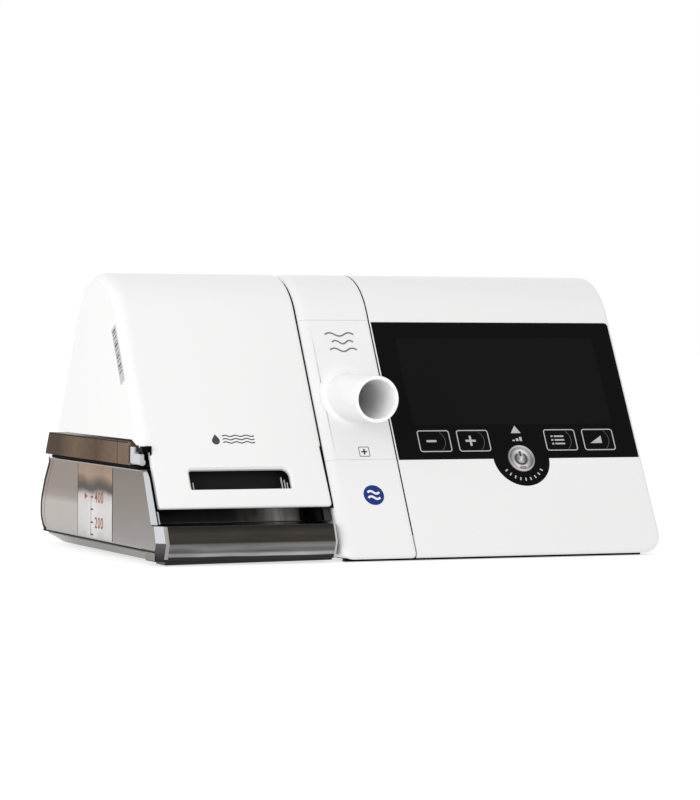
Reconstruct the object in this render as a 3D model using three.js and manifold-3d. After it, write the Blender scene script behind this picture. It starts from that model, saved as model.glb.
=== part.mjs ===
// Bedside positive-airway-pressure ventilator with a docked heated humidifier.
// Millimetres. X runs along the front from the humidifier to the display unit, Y runs from
// front to back and Z is up. The origin is the middle of the bounding box, on the table.

import * as THREE from 'three';
import { mergeVertices } from 'three/addons/utils/BufferGeometryUtils.js';
import Module from 'manifold-3d';

const wasm = await Module();
wasm.setup();

// ---- driving dimensions -------------------------------------------------------------------

const WIDTH = 260;
const DEPTH = 178.8;
const HEIGHT = 135;
const GAP = 0.3; // between touching pieces
const WALL = 2.5; // housing wall

// The arch section, shared by both halves: a slanted front, a round top and a slanted back.
const FRONT_TAN = 0.547; // lean of the front, run over rise
const BACK_TAN = 0.558;
const ARCH_R = 33.3;
const FRONT_Y0 = -90.7; // where the front plane meets the table
const ALPHA = Math.atan(FRONT_TAN);
const BETA = Math.atan(BACK_TAN);
const ARCH_Z = HEIGHT - ARCH_R;
const ARCH_Y = FRONT_Y0 + FRONT_TAN * ARCH_Z + ARCH_R / Math.cos(ALPHA);
const BACK_Y0 = ARCH_Y + BACK_TAN * ARCH_Z + ARCH_R / Math.cos(BETA);
const BACK_Y = DEPTH / 2;

const RIGHT_X = WIDTH / 2;
const LEFT_X = -WIDTH / 2;
const DOCK_X = -38.8; // left face of the display unit
const SPLIT_X = -1.3; // seam between the outlet shell and the display shell
const SHELL_Z = 2.3; // bottom edge of the housings

// The control panel, in the plane of the slanted front: x, and v up the slant from the table.
const PANEL = { x0: -0.7, x1: 128, v0: 53.4, v1: 127.7, thick: 1.2 };
const CONTROL_X = 64.1;
const TAB_R = 14.7;
const KEY = { w: 17.2, h: 11.8, v: 63, r: 1.6, thick: 1.2, stem: 3.6 };
const KEY_X = [-44.1, -23.4, 23.4, 44.1];
const KEY_NAMES = ['key_minus', 'key_plus', 'key_menu', 'key_ramp'];
const POWER = { v: 53.2, r: 7.2, thick: 2.2 };
const LCD = { x0: 10.5, x1: 117.5, v0: 71.6, v1: 119.3 };

// The hose outlet, level and facing forward.
const PORT = { x: -20.65, z: 76.3, r: 11, bore: 9.5, y: -84.7, back: -28 };
const BAND = { v0: 53.6, v1: 128.9, depth: 12 };

// The rear filter door, in the plane of the slanted back: x, and v up that slant.
const DOOR = { x0: 62, x1: 108, v0: 36, v1: 76, thick: 2.2 };
const SOCKET = { x: 22, v: 36, w: 18, h: 14, deep: 14, bore: 4.2 };

// The blower stands on a vertical axis inside the display unit.
const BLOWER = { x: 62, y: 17, inner: 26, growth: 7, z0: 26, z1: 43 };
const MUFFLER = { x0: 8, x1: 116, y0: -20, y1: 56, z0: 5.6, z1: 50, wall: 2 };
const STUB = { x: 3, y0: 33, y1: 52, z0: 28, z1: 41 }; // the blower's outlet

// The humidifier.
const COVER_X1 = -39.5;
const LEG_X = -127.2; // left edge of the cover's front below its side
const COVER_Z = 25.5; // bottom edge of the cover's front
const SIDE_Z = 57; // bottom edge of the cover's side and back
const DIP = { y0: -56, y1: -49.5, z: 54.6 }; // where that edge drops to meet the front
const HINGE = { y: 60, z: 62, r: 3.2, rod: 1.6 };
const KNUCKLES = [[-127.5, -118], [-54, -45.3]];
const NOTCH_Z = 66.5;
const SLOT = { x0: -108.1, x1: -57.8, v0: 39.3, v1: 49.8, r: 2.2 };
const DOCK_WALL = { x0: -43.3, x1: -40, inset: 3.5, z: 6.3, notchY: -61.5, notchZ: 19.2 };
const TRAY_Z = 6;
const TUB = { x1: -44.7, z: 43.2, wall: 2.2, floor: 6.5, step: 18.3 };
const CHEEK = { left: 0.6, right: 3.8 }; // from the slanted front to the tub's cheeks
const GRIP = { x1: -40, facetX: 5.4, facetY: 7.6, y: -88.5 };
const TUB_FRONT = [-64, -56]; // the tub's front wall, at its foot and at its rim
const LID = { z0: 44.9, z1: 55.9, y0: -48, y1: 77.5, wall: 2 };
const PLATE = { x0: -112, x1: -64, y0: -22, y1: 38 };
const SUPPLY = { y: 30, z: 76.3 };
const RETURN = { y: -2, z: 76.3 };
const BOOM = { y0: 46, y1: 57.5, z0: 58.6, z1: 64 };
const LATCH = { x1: -126.6, y0: -60.5, stepY: -53, y1: -47.5, z0: 45.2, stepZ: 50.6, z1: 53.6, pin: 1.5 };

// Where the screws and the feet stand.
const SCREW_AT = [[-32, -60], [-32, 60], [123.2, -60], [123.2, 60]];
const FOOT_AT = [[-24, -70], [112, -70], [-24, 68], [112, 68]];
const DOCK_FEET = [[-112, -52], [-58, -52], [-112, 54], [-58, 54]];

// ---- materials ----------------------------------------------------------------------------

const paint = (color, roughness, metalness = 0, opacity = 1) => new THREE.MeshStandardMaterial({
  color, roughness, metalness, opacity, transparent: opacity < 1,
});
const WHITE = paint(0xf1f1f0, 0.28);
const BLACK_GLASS = paint(0x0d0d0e, 0.08);
const SILVER = paint(0xb9babc, 0.28, 1);
const DARK = paint(0x1d1d1f, 0.5);
const SMOKY = paint(0x8d8078, 0.12, 0, 0.6);
const LID_SMOKY = paint(0x6f5c4c, 0.15, 0, 0.8);
const CLEAR = paint(0xd3d5dc, 0.1, 0, 0.6);
const RUBBER = paint(0x232324, 0.8);
const SILICONE = paint(0xb9bcbd, 0.6);
const STEEL = paint(0xa8a9aa, 0.3, 1);
const ALUMINIUM = paint(0xc2c4c5, 0.35, 1);
const BOARD = paint(0x1c5a35, 0.5);
const FOAM = paint(0x3b3d40, 0.95);
const FILTER = paint(0xdedfe0, 0.95);
const GREY = paint(0x8c8f92, 0.5);

// ---- solids -------------------------------------------------------------------------------

const CIRCLE = 24; // sides of a round piece

function solid(geometry, matrix) {
  const bare = geometry.clone();
  bare.deleteAttribute('normal');
  bare.deleteAttribute('uv');
  if (matrix) bare.applyMatrix4(matrix);
  const merged = mergeVertices(bare, 1e-4);
  return new wasm.Manifold(new wasm.Mesh({
    numProp: 3,
    vertProperties: merged.attributes.position.array,
    triVerts: Uint32Array.from(merged.index.array),
  }));
}

function extrude(shape, depth, matrix) {
  const geometry = new THREE.ExtrudeGeometry(shape, { depth, bevelEnabled: false, curveSegments: 9 });
  return solid(geometry, matrix);
}

function frameOf(right, up, out, origin) {
  return new THREE.Matrix4().makeBasis(right, up, out).setPosition(origin);
}

const axis = (x, y, z) => new THREE.Vector3(x, y, z);

// Prisms along X (an outline in y, z), along Y (x, z) and along Z (x, y).
const alongX = (shape, x0, x1) =>
  extrude(shape, x1 - x0, frameOf(axis(0, 1, 0), axis(0, 0, 1), axis(1, 0, 0), axis(x0, 0, 0)));
const alongY = (shape, y0, y1) =>
  extrude(shape, y1 - y0, frameOf(axis(1, 0, 0), axis(0, 0, 1), axis(0, -1, 0), axis(0, y1, 0)));
const alongZ = (shape, z0, z1) =>
  extrude(shape, z1 - z0, new THREE.Matrix4().makeTranslation(0, 0, z0));

// Prisms square to the slanted front (x, v) and to the slanted back (x, v), from n0 to n1 along
// the outward normal.
function onFront(shape, n0, n1) {
  const up = axis(0, Math.sin(ALPHA), Math.cos(ALPHA));
  const out = axis(0, -Math.cos(ALPHA), Math.sin(ALPHA));
  const origin = axis(0, FRONT_Y0, 0).addScaledVector(out, n0);
  return extrude(shape, n1 - n0, frameOf(axis(1, 0, 0), up, out, origin));
}

function onBack(shape, n0, n1) {
  const up = axis(0, -Math.sin(BETA), Math.cos(BETA));
  const out = axis(0, Math.cos(BETA), Math.sin(BETA));
  const origin = axis(0, BACK_Y0, 0).addScaledVector(out, n0);
  return extrude(shape, n1 - n0, frameOf(axis(-1, 0, 0), up, out, origin));
}

function outline(points) {
  return new THREE.Shape(points.map(([a, b]) => new THREE.Vector2(a, b)));
}

const rect = (x0, y0, x1, y1) => outline([[x0, y0], [x1, y0], [x1, y1], [x0, y1]]);

const CORNER = 3; // chords in a rounded corner

function roundRect(x0, y0, x1, y1, r) {
  const centres = [[x1 - r, y0 + r], [x1 - r, y1 - r], [x0 + r, y1 - r], [x0 + r, y0 + r]];
  const points = centres.flatMap(([cx, cy], quarter) => Array.from({ length: CORNER + 1 }, (_, i) => {
    const turn = (quarter - 1 + i / CORNER) * (Math.PI / 2);
    return [cx + r * Math.cos(turn), cy + r * Math.sin(turn)];
  }));
  return outline(points);
}

function disc(x, y, r, sides = CIRCLE) {
  const turn = (2 * Math.PI) / sides;
  return outline(Array.from({ length: sides }, (_, i) => [
    x + r * Math.cos(i * turn),
    y + r * Math.sin(i * turn),
  ]));
}

function ring(x, y, outer, inner) {
  const shape = disc(x, y, outer);
  shape.holes.push(disc(x, y, inner));
  return shape;
}

const box = (x0, x1, y0, y1, z0, z1) => alongZ(rect(x0, y0, x1, y1), z0, z1);

// The arch section, moved inwards by inset and closed at the height z.
function arch(inset, z) {
  const front = FRONT_Y0 + inset / Math.cos(ALPHA);
  const back = BACK_Y0 - inset / Math.cos(BETA);
  const wall = BACK_Y - inset;
  const knee = (back - wall) / BACK_TAN;
  const shape = new THREE.Shape();
  shape.moveTo(Math.min(wall, back - BACK_TAN * z), z);
  shape.lineTo(front + FRONT_TAN * z, z);
  shape.absarc(ARCH_Y, ARCH_Z, ARCH_R - inset, Math.PI - ALPHA, BETA, true);
  if (knee > z) {
    shape.lineTo(wall, knee);
  }
  return shape;
}

// The y of the slanted front at the height z, moved back by margin.
const slantY = (z, margin) => FRONT_Y0 + FRONT_TAN * z + margin;

// An outline with each edge moved inwards by its own distance.
function insetOutline(points, distances) {
  const count = points.length;
  const edge = points.map(([ax, ay], i) => {
    const [bx, by] = points[(i + 1) % count];
    const length = Math.hypot(bx - ax, by - ay);
    const nx = -(by - ay) / length;
    const ny = (bx - ax) / length;
    return { nx, ny, c: nx * ax + ny * ay + distances[i] };
  });
  return points.map((_, i) => {
    const p = edge[(i + count - 1) % count];
    const q = edge[i];
    const det = p.nx * q.ny - p.ny * q.nx;
    return [(p.c * q.ny - p.ny * q.c) / det, (p.nx * q.c - p.c * q.nx) / det];
  });
}

// A round hose swept along a smooth line.
function hose(points, outer, inner, steps) {
  const path = new THREE.CatmullRomCurve3(points.map(([x, y, z]) => axis(x, y, z)));
  const section = disc(0, 0, outer, 14);
  section.holes.push(disc(0, 0, inner, 14));
  return solid(new THREE.ExtrudeGeometry(section, { steps, extrudePath: path }));
}

// ---- the scene graph ----------------------------------------------------------------------

const ventilator = new THREE.Group();

function add(name, shape, material) {
  const { vertProperties, triVerts, numProp } = shape.getMesh();
  const positions = new Float32Array((vertProperties.length / numProp) * 3);
  for (let i = 0; i < positions.length / 3; i += 1) {
    positions.set(vertProperties.subarray(i * numProp, i * numProp + 3), i * 3);
  }
  const geometry = new THREE.BufferGeometry();
  geometry.setAttribute('position', new THREE.BufferAttribute(positions, 3));
  geometry.setIndex(new THREE.BufferAttribute(Uint32Array.from(triVerts), 1));
  geometry.computeVertexNormals();
  const mesh = new THREE.Mesh(geometry, material);
  mesh.name = name;
  ventilator.add(mesh);
}

// ---- housings of the display unit ---------------------------------------------------------

function bosses(places) {
  const shapes = places.map(([x, y]) => alongZ(ring(x, y, 4.6, 1.5), 5.2, 18));
  return shapes.reduce((sum, boss) => sum.add(boss));
}

function panelOutline(margin) {
  const shape = new THREE.Shape();
  const { x0, x1, v0, v1 } = PANEL;
  const corner = 1.5 + margin;
  shape.moveTo(x0 - margin, v1 + margin);
  shape.lineTo(x0 - margin, v0 - margin);
  shape.absarc(CONTROL_X, v0 - margin, TAB_R + margin, Math.PI, 2 * Math.PI);
  shape.lineTo(x1 + margin, v0 - margin);
  shape.absarc(x1 + margin - corner, v1 + margin - corner, corner, 0, Math.PI / 2);
  return shape;
}

function panelOpening() {
  const keys = onFront(rect(8, 56.8, 120, 122), -6, 1);
  return keys.add(onFront(disc(CONTROL_X, POWER.v, 10), -6, 1));
}

function displayShell() {
  const left = SPLIT_X + GAP / 2;
  const outer = alongX(arch(0, SHELL_Z), left, RIGHT_X);
  const inner = alongX(arch(WALL, -5), left - 5, RIGHT_X - WALL);
  const recess = onFront(panelOutline(GAP), -PANEL.thick - GAP, 3)
    .add(onFront(rect(left - 2, PANEL.v0 - GAP, left + 2, PANEL.v1 + GAP), -PANEL.thick - GAP, 3));
  const door = onBack(rect(-DOOR.x1 - GAP, DOOR.v0 - GAP, -DOOR.x0 + GAP, DOOR.v1 + GAP), -6, 3);
  const { x, v, w, h } = SOCKET;
  const socket = onBack(rect(-x - w / 2 - GAP, v - h / 2 - GAP, -x + w / 2 + GAP, v + h / 2 + GAP), -6, 3);
  const frame = onFront(panelOutline(4), -PANEL.thick - 4.5, -1).intersect(outer);
  const posts = bosses(SCREW_AT.slice(2));
  return outer.subtract(inner).add(frame).subtract(recess).subtract(panelOpening())
    .subtract(door).subtract(socket).add(posts);
}

function outletHousing() {
  const right = SPLIT_X - GAP / 2;
  const outer = alongX(arch(0, SHELL_Z), DOCK_X, right);
  return outer.subtract(alongX(arch(WALL, -5), DOCK_X + WALL, right + 5));
}

const bandSlab = (margin) => onFront(
  rect(DOCK_X - 2, BAND.v0 + margin, SPLIT_X, BAND.v1 - margin),
  -BAND.depth + margin,
  2,
);

function outletShell() {
  const wall = (shape) => alongX(shape, DOCK_X - 1, DOCK_X + WALL + 1);
  const ports = wall(disc(SUPPLY.y, SUPPLY.z, 10.4)).add(wall(disc(RETURN.y, RETURN.z, 10.4)));
  const plug = wall(rect(-10, 20, 10, 30));
  const hooks = wall(rect(-46, 13, -33, 23)).add(wall(rect(33, 13, 46, 23)));
  return outletHousing().subtract(bandSlab(0)).subtract(ports).subtract(plug).subtract(hooks)
    .add(bosses(SCREW_AT.slice(0, 2)));
}

// The band across the outlet section, moulded in one with the hose cone.
function portCover() {
  const cone = new THREE.CylinderGeometry(PORT.r, PORT.r + 0.35, PORT.back - PORT.y, 32);
  const place = new THREE.Matrix4().makeRotationX(Math.PI)
    .setPosition(PORT.x, (PORT.back + PORT.y) / 2, PORT.z);
  const tube = solid(cone, place);
  const bore = alongY(disc(PORT.x, PORT.z, PORT.bore, 32), PORT.y - 5, PORT.back + 5);
  return outletHousing().intersect(bandSlab(GAP / 2)).add(tube).subtract(bore);
}

function basePan() {
  const margin = WALL + GAP;
  const plate = alongX(arch(margin, 1.8), DOCK_X + margin, RIGHT_X - margin);
  const slab = plate.intersect(box(LEFT_X, RIGHT_X, -95, 95, 1.8, 4.8));
  const hole = ([x, y]) => alongZ(disc(x, y, 1.5), 0, 6).add(alongZ(disc(x, y, 3.2), 0, 3.6));
  return SCREW_AT.reduce((left, place) => left.subtract(hole(place)), slab);
}

const screw = ([x, y]) => alongZ(disc(x, y, 2.9, 16), 2, 3.3).add(alongZ(disc(x, y, 1.2, 16), 3, 14));
const foot = ([x, y], r, top) => alongZ(disc(x, y, r), 0, top);

// ---- control panel ------------------------------------------------------------------------

function keyOutline(index, margin) {
  const x = CONTROL_X + KEY_X[index];
  const w = KEY.w / 2 + margin;
  const h = KEY.h / 2 + margin;
  return roundRect(x - w, KEY.v - h, x + w, KEY.v + h, KEY.r + margin);
}

function displayGlass() {
  const plate = onFront(panelOutline(0), -PANEL.thick, 0);
  const keys = KEY_X.map((_, i) => onFront(keyOutline(i, GAP), -4, 2));
  const button = onFront(disc(CONTROL_X, POWER.v, POWER.r + GAP), -4, 2);
  return keys.reduce((left, key) => left.subtract(key), plate).subtract(button);
}

function key(index) {
  const x = CONTROL_X + KEY_X[index];
  const cap = onFront(keyOutline(index, 0), -KEY.thick, 0);
  return cap.add(onFront(disc(x, KEY.v, 2.4, 16), -KEY.stem, -KEY.thick + 0.2));
}

function powerButton() {
  const { r, thick, v } = POWER;
  const profile = [[0, -thick], [r, -thick], [r, -0.2], [r - 0.6, 0.4], [r - 1.8, 0.2], [0, -0.5]];
  const lathe = new THREE.LatheGeometry(profile.map(([a, b]) => new THREE.Vector2(a, b)), 32);
  const place = new THREE.Matrix4().makeRotationX(Math.PI - ALPHA)
    .setPosition(CONTROL_X, FRONT_Y0 + v * Math.sin(ALPHA), v * Math.cos(ALPHA));
  const stem = onFront(disc(CONTROL_X, v, 2.6, 16), -KEY.stem, -thick + 0.2);
  return solid(lathe, place).add(stem);
}

const lcdModule = () => onFront(rect(LCD.x0 - 2, LCD.v0 + 0.5, LCD.x1 + 2, LCD.v1 + 2), -5.6, -1.5);

// The circuit board behind the keys, with a switch under each stem.
function keyBoard() {
  const board = onFront(rect(10, 49, 118, 69.8), -8.4, -6.8).intersect(box(9, 119, -90, 0, 30, 90));
  const spots = [...KEY_X.map((x) => [CONTROL_X + x, KEY.v]), [CONTROL_X, POWER.v]];
  const domes = spots.map(([x, v]) => onFront(disc(x, v, 2.4, 16), -6.9, -4.9));
  return domes.reduce((sum, dome) => sum.add(dome), board);
}

// ---- blower and silencer ------------------------------------------------------------------

// The spiral outline of the blower: its radius grows steadily round the axis.
function spiral(extra) {
  const steps = 36;
  const points = [];
  for (let i = 0; i <= steps; i += 1) {
    const turn = (i / steps) * 2 * Math.PI;
    const r = BLOWER.inner + (BLOWER.growth * i) / steps + extra;
    points.push([BLOWER.x + r * Math.sin(turn), BLOWER.y + r * Math.cos(turn)]);
  }
  return outline(points.reverse());
}

function blowerScroll() {
  const { x, y, z0, z1 } = BLOWER;
  const stub = box(STUB.x, x, STUB.y0, STUB.y1, STUB.z0 - 2, z1);
  const bore = box(STUB.x - 1, x, STUB.y0 + 2, STUB.y1 - 2, STUB.z0, STUB.z1);
  const shell = alongZ(spiral(2), z0, z1).add(stub);
  return shell.subtract(alongZ(spiral(0), z0 + 2, z1 + 1)).subtract(bore)
    .subtract(alongZ(disc(x, y, 3.5), z0 - 1, z0 + 3));
}

const blowerLid = () => alongZ(spiral(2), BLOWER.z1 + GAP, BLOWER.z1 + 2.5)
  .subtract(alongZ(disc(BLOWER.x, BLOWER.y, 13), BLOWER.z1, BLOWER.z1 + 4));

function impeller() {
  const { x, y } = BLOWER;
  const z0 = BLOWER.z0 + 4;
  const hub = alongZ(disc(x, y, 6, 18), z0, z0 + 9);
  const back = alongZ(disc(x, y, 23, 30), z0, z0 + 1.4);
  const blades = 9;
  let wheel = hub.add(back);
  for (let i = 0; i < blades; i += 1) {
    const turn = (i / blades) * 2 * Math.PI;
    const path = [[5, -0.6], [14, 1.6], [22.4, 6.4], [22.4, 7.8], [14, 3], [5, 0.6]];
    const blade = path.map(([a, b]) => [
      x + a * Math.cos(turn) - b * Math.sin(turn),
      y + a * Math.sin(turn) + b * Math.cos(turn),
    ]);
    wheel = wheel.add(alongZ(outline(blade), z0 + 1, z0 + 9));
  }
  return wheel.subtract(alongZ(disc(x, y, 1.9, 16), z0 - 1, z0 + 10));
}

const motorShaft = () => alongZ(disc(BLOWER.x, BLOWER.y, 1.5, 16), 13, BLOWER.z0 + 13.5);

function blowerMotor() {
  const { x, y, z0 } = BLOWER;
  const can = alongZ(disc(x, y, 15), 11, z0 - GAP);
  return can.subtract(alongZ(disc(x, y, 1.9, 16), 12.5, z0 + 1));
}

const blowerMount = () => alongZ(ring(BLOWER.x, BLOWER.y, 22, 15.4), 8, 15)
  .add(alongZ(ring(BLOWER.x, BLOWER.y, 19, 15.4), 14.8, BLOWER.z0 - GAP));

function mufflerBox() {
  const { x0, x1, y0, y1, z0, z1, wall } = MUFFLER;
  const outer = box(x0, x1, y0, y1, z0, z1);
  const inner = box(x0 + wall, x1 - wall, y0 + wall, y1 - wall, z0 + wall, z1 + 1);
  const way = box(x0 - 1, x0 + wall + 1, STUB.y0 - 0.5, y1 - wall, STUB.z0 - 2.5, BLOWER.z1 + 0.5);
  const inlet = box(70, 100, y1 - wall - 1, y1 + 1, 32, 46);
  return outer.subtract(inner).subtract(way).subtract(inlet);
}

const mufflerLid = () => box(
  MUFFLER.x0, MUFFLER.x1, MUFFLER.y0, MUFFLER.y1, MUFFLER.z1 + GAP, MUFFLER.z1 + 2,
);

function mufflerFoam() {
  const { x0, x1, y0, y1, z1, wall } = MUFFLER;
  const in0 = wall + GAP;
  const block = box(x0 + in0, x1 - in0, y0 + in0, y1 - in0, z1 - 4, z1);
  return block.subtract(alongZ(disc(BLOWER.x, BLOWER.y, 18), z1 - 5, z1 + 1));
}

const supplyDuct = () => hose(
  [[2.6, 42.5, 34.5], [-9, 42.5, 36], [-17, 39, 52], [-21, 33, 69], [-27, 30, 75.6], [-36, 30, 76.3]],
  6.6, 5.2, 14,
);

const outletDuct = () => hose(
  [[PORT.x, -37.6, PORT.z], [PORT.x, -26, PORT.z], [PORT.x, -15, PORT.z], [-24.5, -6, PORT.z],
    [-29.5, RETURN.y - 0.3, PORT.z], [DOCK_X + 3.6, RETURN.y, PORT.z]],
  13, PORT.r + 0.7, 11,
);

const couplingSeal = ({ y, z }) =>
  alongX(ring(y, z, 10.1, 7.6), DOCK_WALL.x1 + GAP, DOCK_X + 4);

// ---- rear: filter, its door and the power socket -------------------------------------------

const inletFilter = () => onBack(
  rect(-DOOR.x1 + 2, DOOR.v0 + 2, -DOOR.x0 - 2, DOOR.v1 - 2), -9, -DOOR.thick - GAP,
);

// The door turns on its round lower edge.
function filterDoor() {
  const r = DOOR.thick / 2;
  const plate = onBack(rect(-DOOR.x1, DOOR.v0 + r, -DOOR.x0, DOOR.v1), -DOOR.thick, 0);
  const { y, z } = hingeOfDoor();
  const roll = alongX(disc(y, z, r, 16), DOOR.x0, DOOR.x1);
  const slots = [0, 1, 2, 3].map((i) => onBack(
    roundRect(-DOOR.x1 + 7, DOOR.v0 + 9 + i * 6, -DOOR.x0 - 7, DOOR.v0 + 11.6 + i * 6, 1.2), -4, 2,
  ));
  return slots.reduce((left, slot) => left.subtract(slot), plate.add(roll));
}

function hingeOfDoor() {
  const v = DOOR.v0 + DOOR.thick / 2;
  const n = -DOOR.thick / 2;
  return {
    y: BACK_Y0 - v * Math.sin(BETA) + n * Math.cos(BETA),
    z: v * Math.cos(BETA) + n * Math.sin(BETA),
  };
}

function powerSocket() {
  const { x, v, w, h, deep, bore } = SOCKET;
  const block = onBack(rect(-x - w / 2, v - h / 2, -x + w / 2, v + h / 2), -deep, -0.6);
  const well = onBack(disc(-x, v, bore), -deep + 2, 1);
  return block.subtract(well).add(onBack(disc(-x, v, 1, 16), -deep + 1.5, -3));
}

const mainBoard = () => box(2, 117, -72, -24, 8, 9.6);

// ---- humidifier dock ----------------------------------------------------------------------

function dockTray() {
  const across = outline([[LEFT_X + 0.4, TRAY_Z], [-124.5, 1.2], [COVER_X1, 1.2], [COVER_X1, TRAY_Z]]);
  const along = outline([[-68.5, 1.2], [66, 1.2], [84, TRAY_Z], [-68.5, TRAY_Z]]);
  const slab = alongY(across, -69, 85).intersect(alongX(along, LEFT_X, COVER_X1));
  const { x0, x1, y0, y1 } = PLATE;
  return slab.subtract(alongZ(roundRect(x0, y0, x1, y1, 6), 2.6, 7));
}

const plateSlab = (margin, z0, z1) => alongZ(roundRect(
  PLATE.x0 + margin, PLATE.y0 + margin, PLATE.x1 - margin, PLATE.y1 - margin, 6 - margin,
), z0, z1);

// The upright wall against the display unit, the hooks that hold it there and the boom that
// carries the cover's hinge rod.
function dockWall() {
  const { x0, x1, inset, z } = DOCK_WALL;
  const wall = alongX(arch(inset, z), x0, x1);
  const hole = ({ y, z: height }) => alongX(disc(y, height, 7.6), x0 - 1, x1 + 1);
  const hook = (y) => box(x1 - 1, DOCK_X + WALL + 1, y, y + 11, 14, 19)
    .add(box(DOCK_X + WALL + GAP, DOCK_X + WALL + 2.3, y, y + 11, 14, 22));
  const boom = alongX(rect(BOOM.y0, BOOM.z0, BOOM.y1 - 2.2, BOOM.z1), -117.5, x0 + 1);
  const ear = alongX(rect(BOOM.y1 - 3, BOOM.z0 + 0.3, HINGE.y, HINGE.z + HINGE.r), -117.5, -54.5);
  const roll = alongX(disc(HINGE.y, HINGE.z, HINGE.r), -117.5, -54.5);
  const bore = alongX(disc(HINGE.y, HINGE.z, HINGE.rod + GAP, 16), -119, -53);
  const notch = box(x0 - 1, x1 + 1, -95, DOCK_WALL.notchY, 0, DOCK_WALL.notchZ);
  return wall.subtract(hole(SUPPLY)).subtract(hole(RETURN)).subtract(notch)
    .add(hook(-45)).add(hook(34)).add(boom).add(ear).add(roll).subtract(bore);
}

const hingeRod = () => alongX(disc(HINGE.y, HINGE.z, HINGE.rod, 16), -126.4, -45.8);

function humidifierCover() {
  const outer = alongX(arch(0, COVER_Z), LEFT_X, COVER_X1);
  const inner = alongX(arch(WALL, -5), LEFT_X + WALL, COVER_X1 + 5);
  const reach = WALL / Math.cos(ALPHA);
  const below = alongX(outline([
    [slantY(20, reach), 20], [100, 20], [100, SIDE_Z], [DIP.y1, SIDE_Z], [DIP.y0, DIP.z],
    [slantY(DIP.z, reach), DIP.z],
  ]), LEFT_X - 1, COVER_X1 + 1);
  const beside = box(LEFT_X - 1, LEG_X, -95, DIP.y0, 20, DIP.z);
  const slot = onFront(roundRect(SLOT.x0, SLOT.v0, SLOT.x1, SLOT.v1, SLOT.r), -8, 2);
  const notch = (x0, x1) => box(x0, x1, 30, 100, 40, NOTCH_Z);
  let cover = outer.subtract(inner).subtract(below).subtract(beside).subtract(slot)
    .subtract(notch(KNUCKLES[0][1], KNUCKLES[1][0])).subtract(notch(KNUCKLES[1][1], COVER_X1 + 1));
  const trim = box(LEFT_X - 1, COVER_X1 + 1, HINGE.y, 100, 40, HINGE.z);
  cover = cover.subtract(trim);
  for (const [x0, x1] of KNUCKLES) {
    cover = cover.add(alongX(disc(HINGE.y, HINGE.z, HINGE.r), x0, x1));
    cover = cover.add(alongX(rect(HINGE.y - HINGE.r, HINGE.z, HINGE.y + 1, HINGE.z + 5), x0, x1));
  }
  const corner = alongX(disc(HINGE.y, HINGE.z, HINGE.z - SIDE_Z), LEFT_X, LEFT_X + WALL);
  cover = cover.add(corner.intersect(alongX(arch(0, COVER_Z), LEFT_X, LEFT_X + WALL)));
  return cover.subtract(alongX(disc(HINGE.y, HINGE.z, HINGE.rod + GAP, 16), -126.8, -40));
}

// The air channels above the tank: dry air in, moist air back.
function airManifold() {
  const block = box(-84, DOCK_WALL.x0 - GAP, -14, 42, 57.6, 86);
  const channel = ({ y, z }) => alongX(disc(y, z, 7), -76, -40).add(alongZ(disc(-68, y, 7), 50, z));
  return block.subtract(channel(SUPPLY)).subtract(channel(RETURN));
}

const dockConnector = () => box(DOCK_WALL.x1 + GAP, DOCK_X + 5.5, -9.5, 9.5, 20.5, 29.5);

// ---- water tank ---------------------------------------------------------------------------

// Side outline of the tub, anticlockwise from its front foot.
const TUB_POINTS = [
  [TUB_FRONT[0], TUB.floor], [84.2, TUB.floor], [89.2, 13], [89.2, 20.7], [83.4, 31.5], [76, 40.5],
  [76, TUB.z], [TUB_FRONT[1], TUB.z],
];
const TUB_RIM = 6; // the open edge of that outline

function tankTub() {
  const depth = TUB_POINTS.map((_, i) => (i === TUB_RIM ? -4 : TUB.wall));
  const body = alongX(outline(TUB_POINTS), LEFT_X, TUB.x1);
  const cavity = alongX(
    outline(insetOutline(TUB_POINTS, depth)), LEFT_X + TUB.wall, TUB.x1 - TUB.wall,
  );
  const foot = TUB.step + GAP;
  const cheek = (margin) => outline([
    [slantY(foot, margin), foot], [TUB_FRONT[0] + 4, foot], [TUB_FRONT[1] + 1, TUB.z],
    [slantY(TUB.z, margin), TUB.z],
  ]);
  return body.add(alongX(cheek(CHEEK.left), LEFT_X, LEFT_X + TUB.wall))
    .add(alongX(cheek(CHEEK.right), TUB.x1 - TUB.wall, TUB.x1)).subtract(cavity)
    .subtract(plateSlab(0, 5, 10));
}

// The grip moulding along the tub's foot, open towards the tub, with a facet at its left end.
function tankFront() {
  const lean = (TUB_FRONT[1] - TUB_FRONT[0]) / (TUB.z - TUB.floor);
  const back = TUB_FRONT[0] - 0.4;
  const points = [
    [-84.8, 2], [-69.6, 2], [-69.2, TUB.floor], [back, TUB.floor],
    [back + lean * (TUB.step - TUB.floor), TUB.step], [-84.5, TUB.step], [-87.8, 10],
  ];
  const open = 3; // the edge that faces the tub
  const depth = points.map((_, i) => (i === open ? -4 : TUB.wall));
  const cavity = outline(insetOutline(points, depth));
  const { x1, facetX, facetY, y } = GRIP;
  const plan = outline([
    [LEFT_X, y + facetY], [LEFT_X + facetX, y], [x1, y], [x1, -60], [LEFT_X, -60],
  ]);
  return alongX(outline(points), LEFT_X, x1).intersect(alongZ(plan, 0, 20))
    .subtract(alongX(cavity, LEFT_X + facetX, x1 - TUB.wall));
}

function tankGasket() {
  const loop = rect(LEFT_X + 1.2, -54.6, TUB.x1 - 1.2, 74.6);
  loop.holes.push(rect(LEFT_X + 4, -51.8, TUB.x1 - 4, 71.8));
  return alongZ(loop, TUB.z + GAP, LID.z0 - GAP);
}

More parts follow.
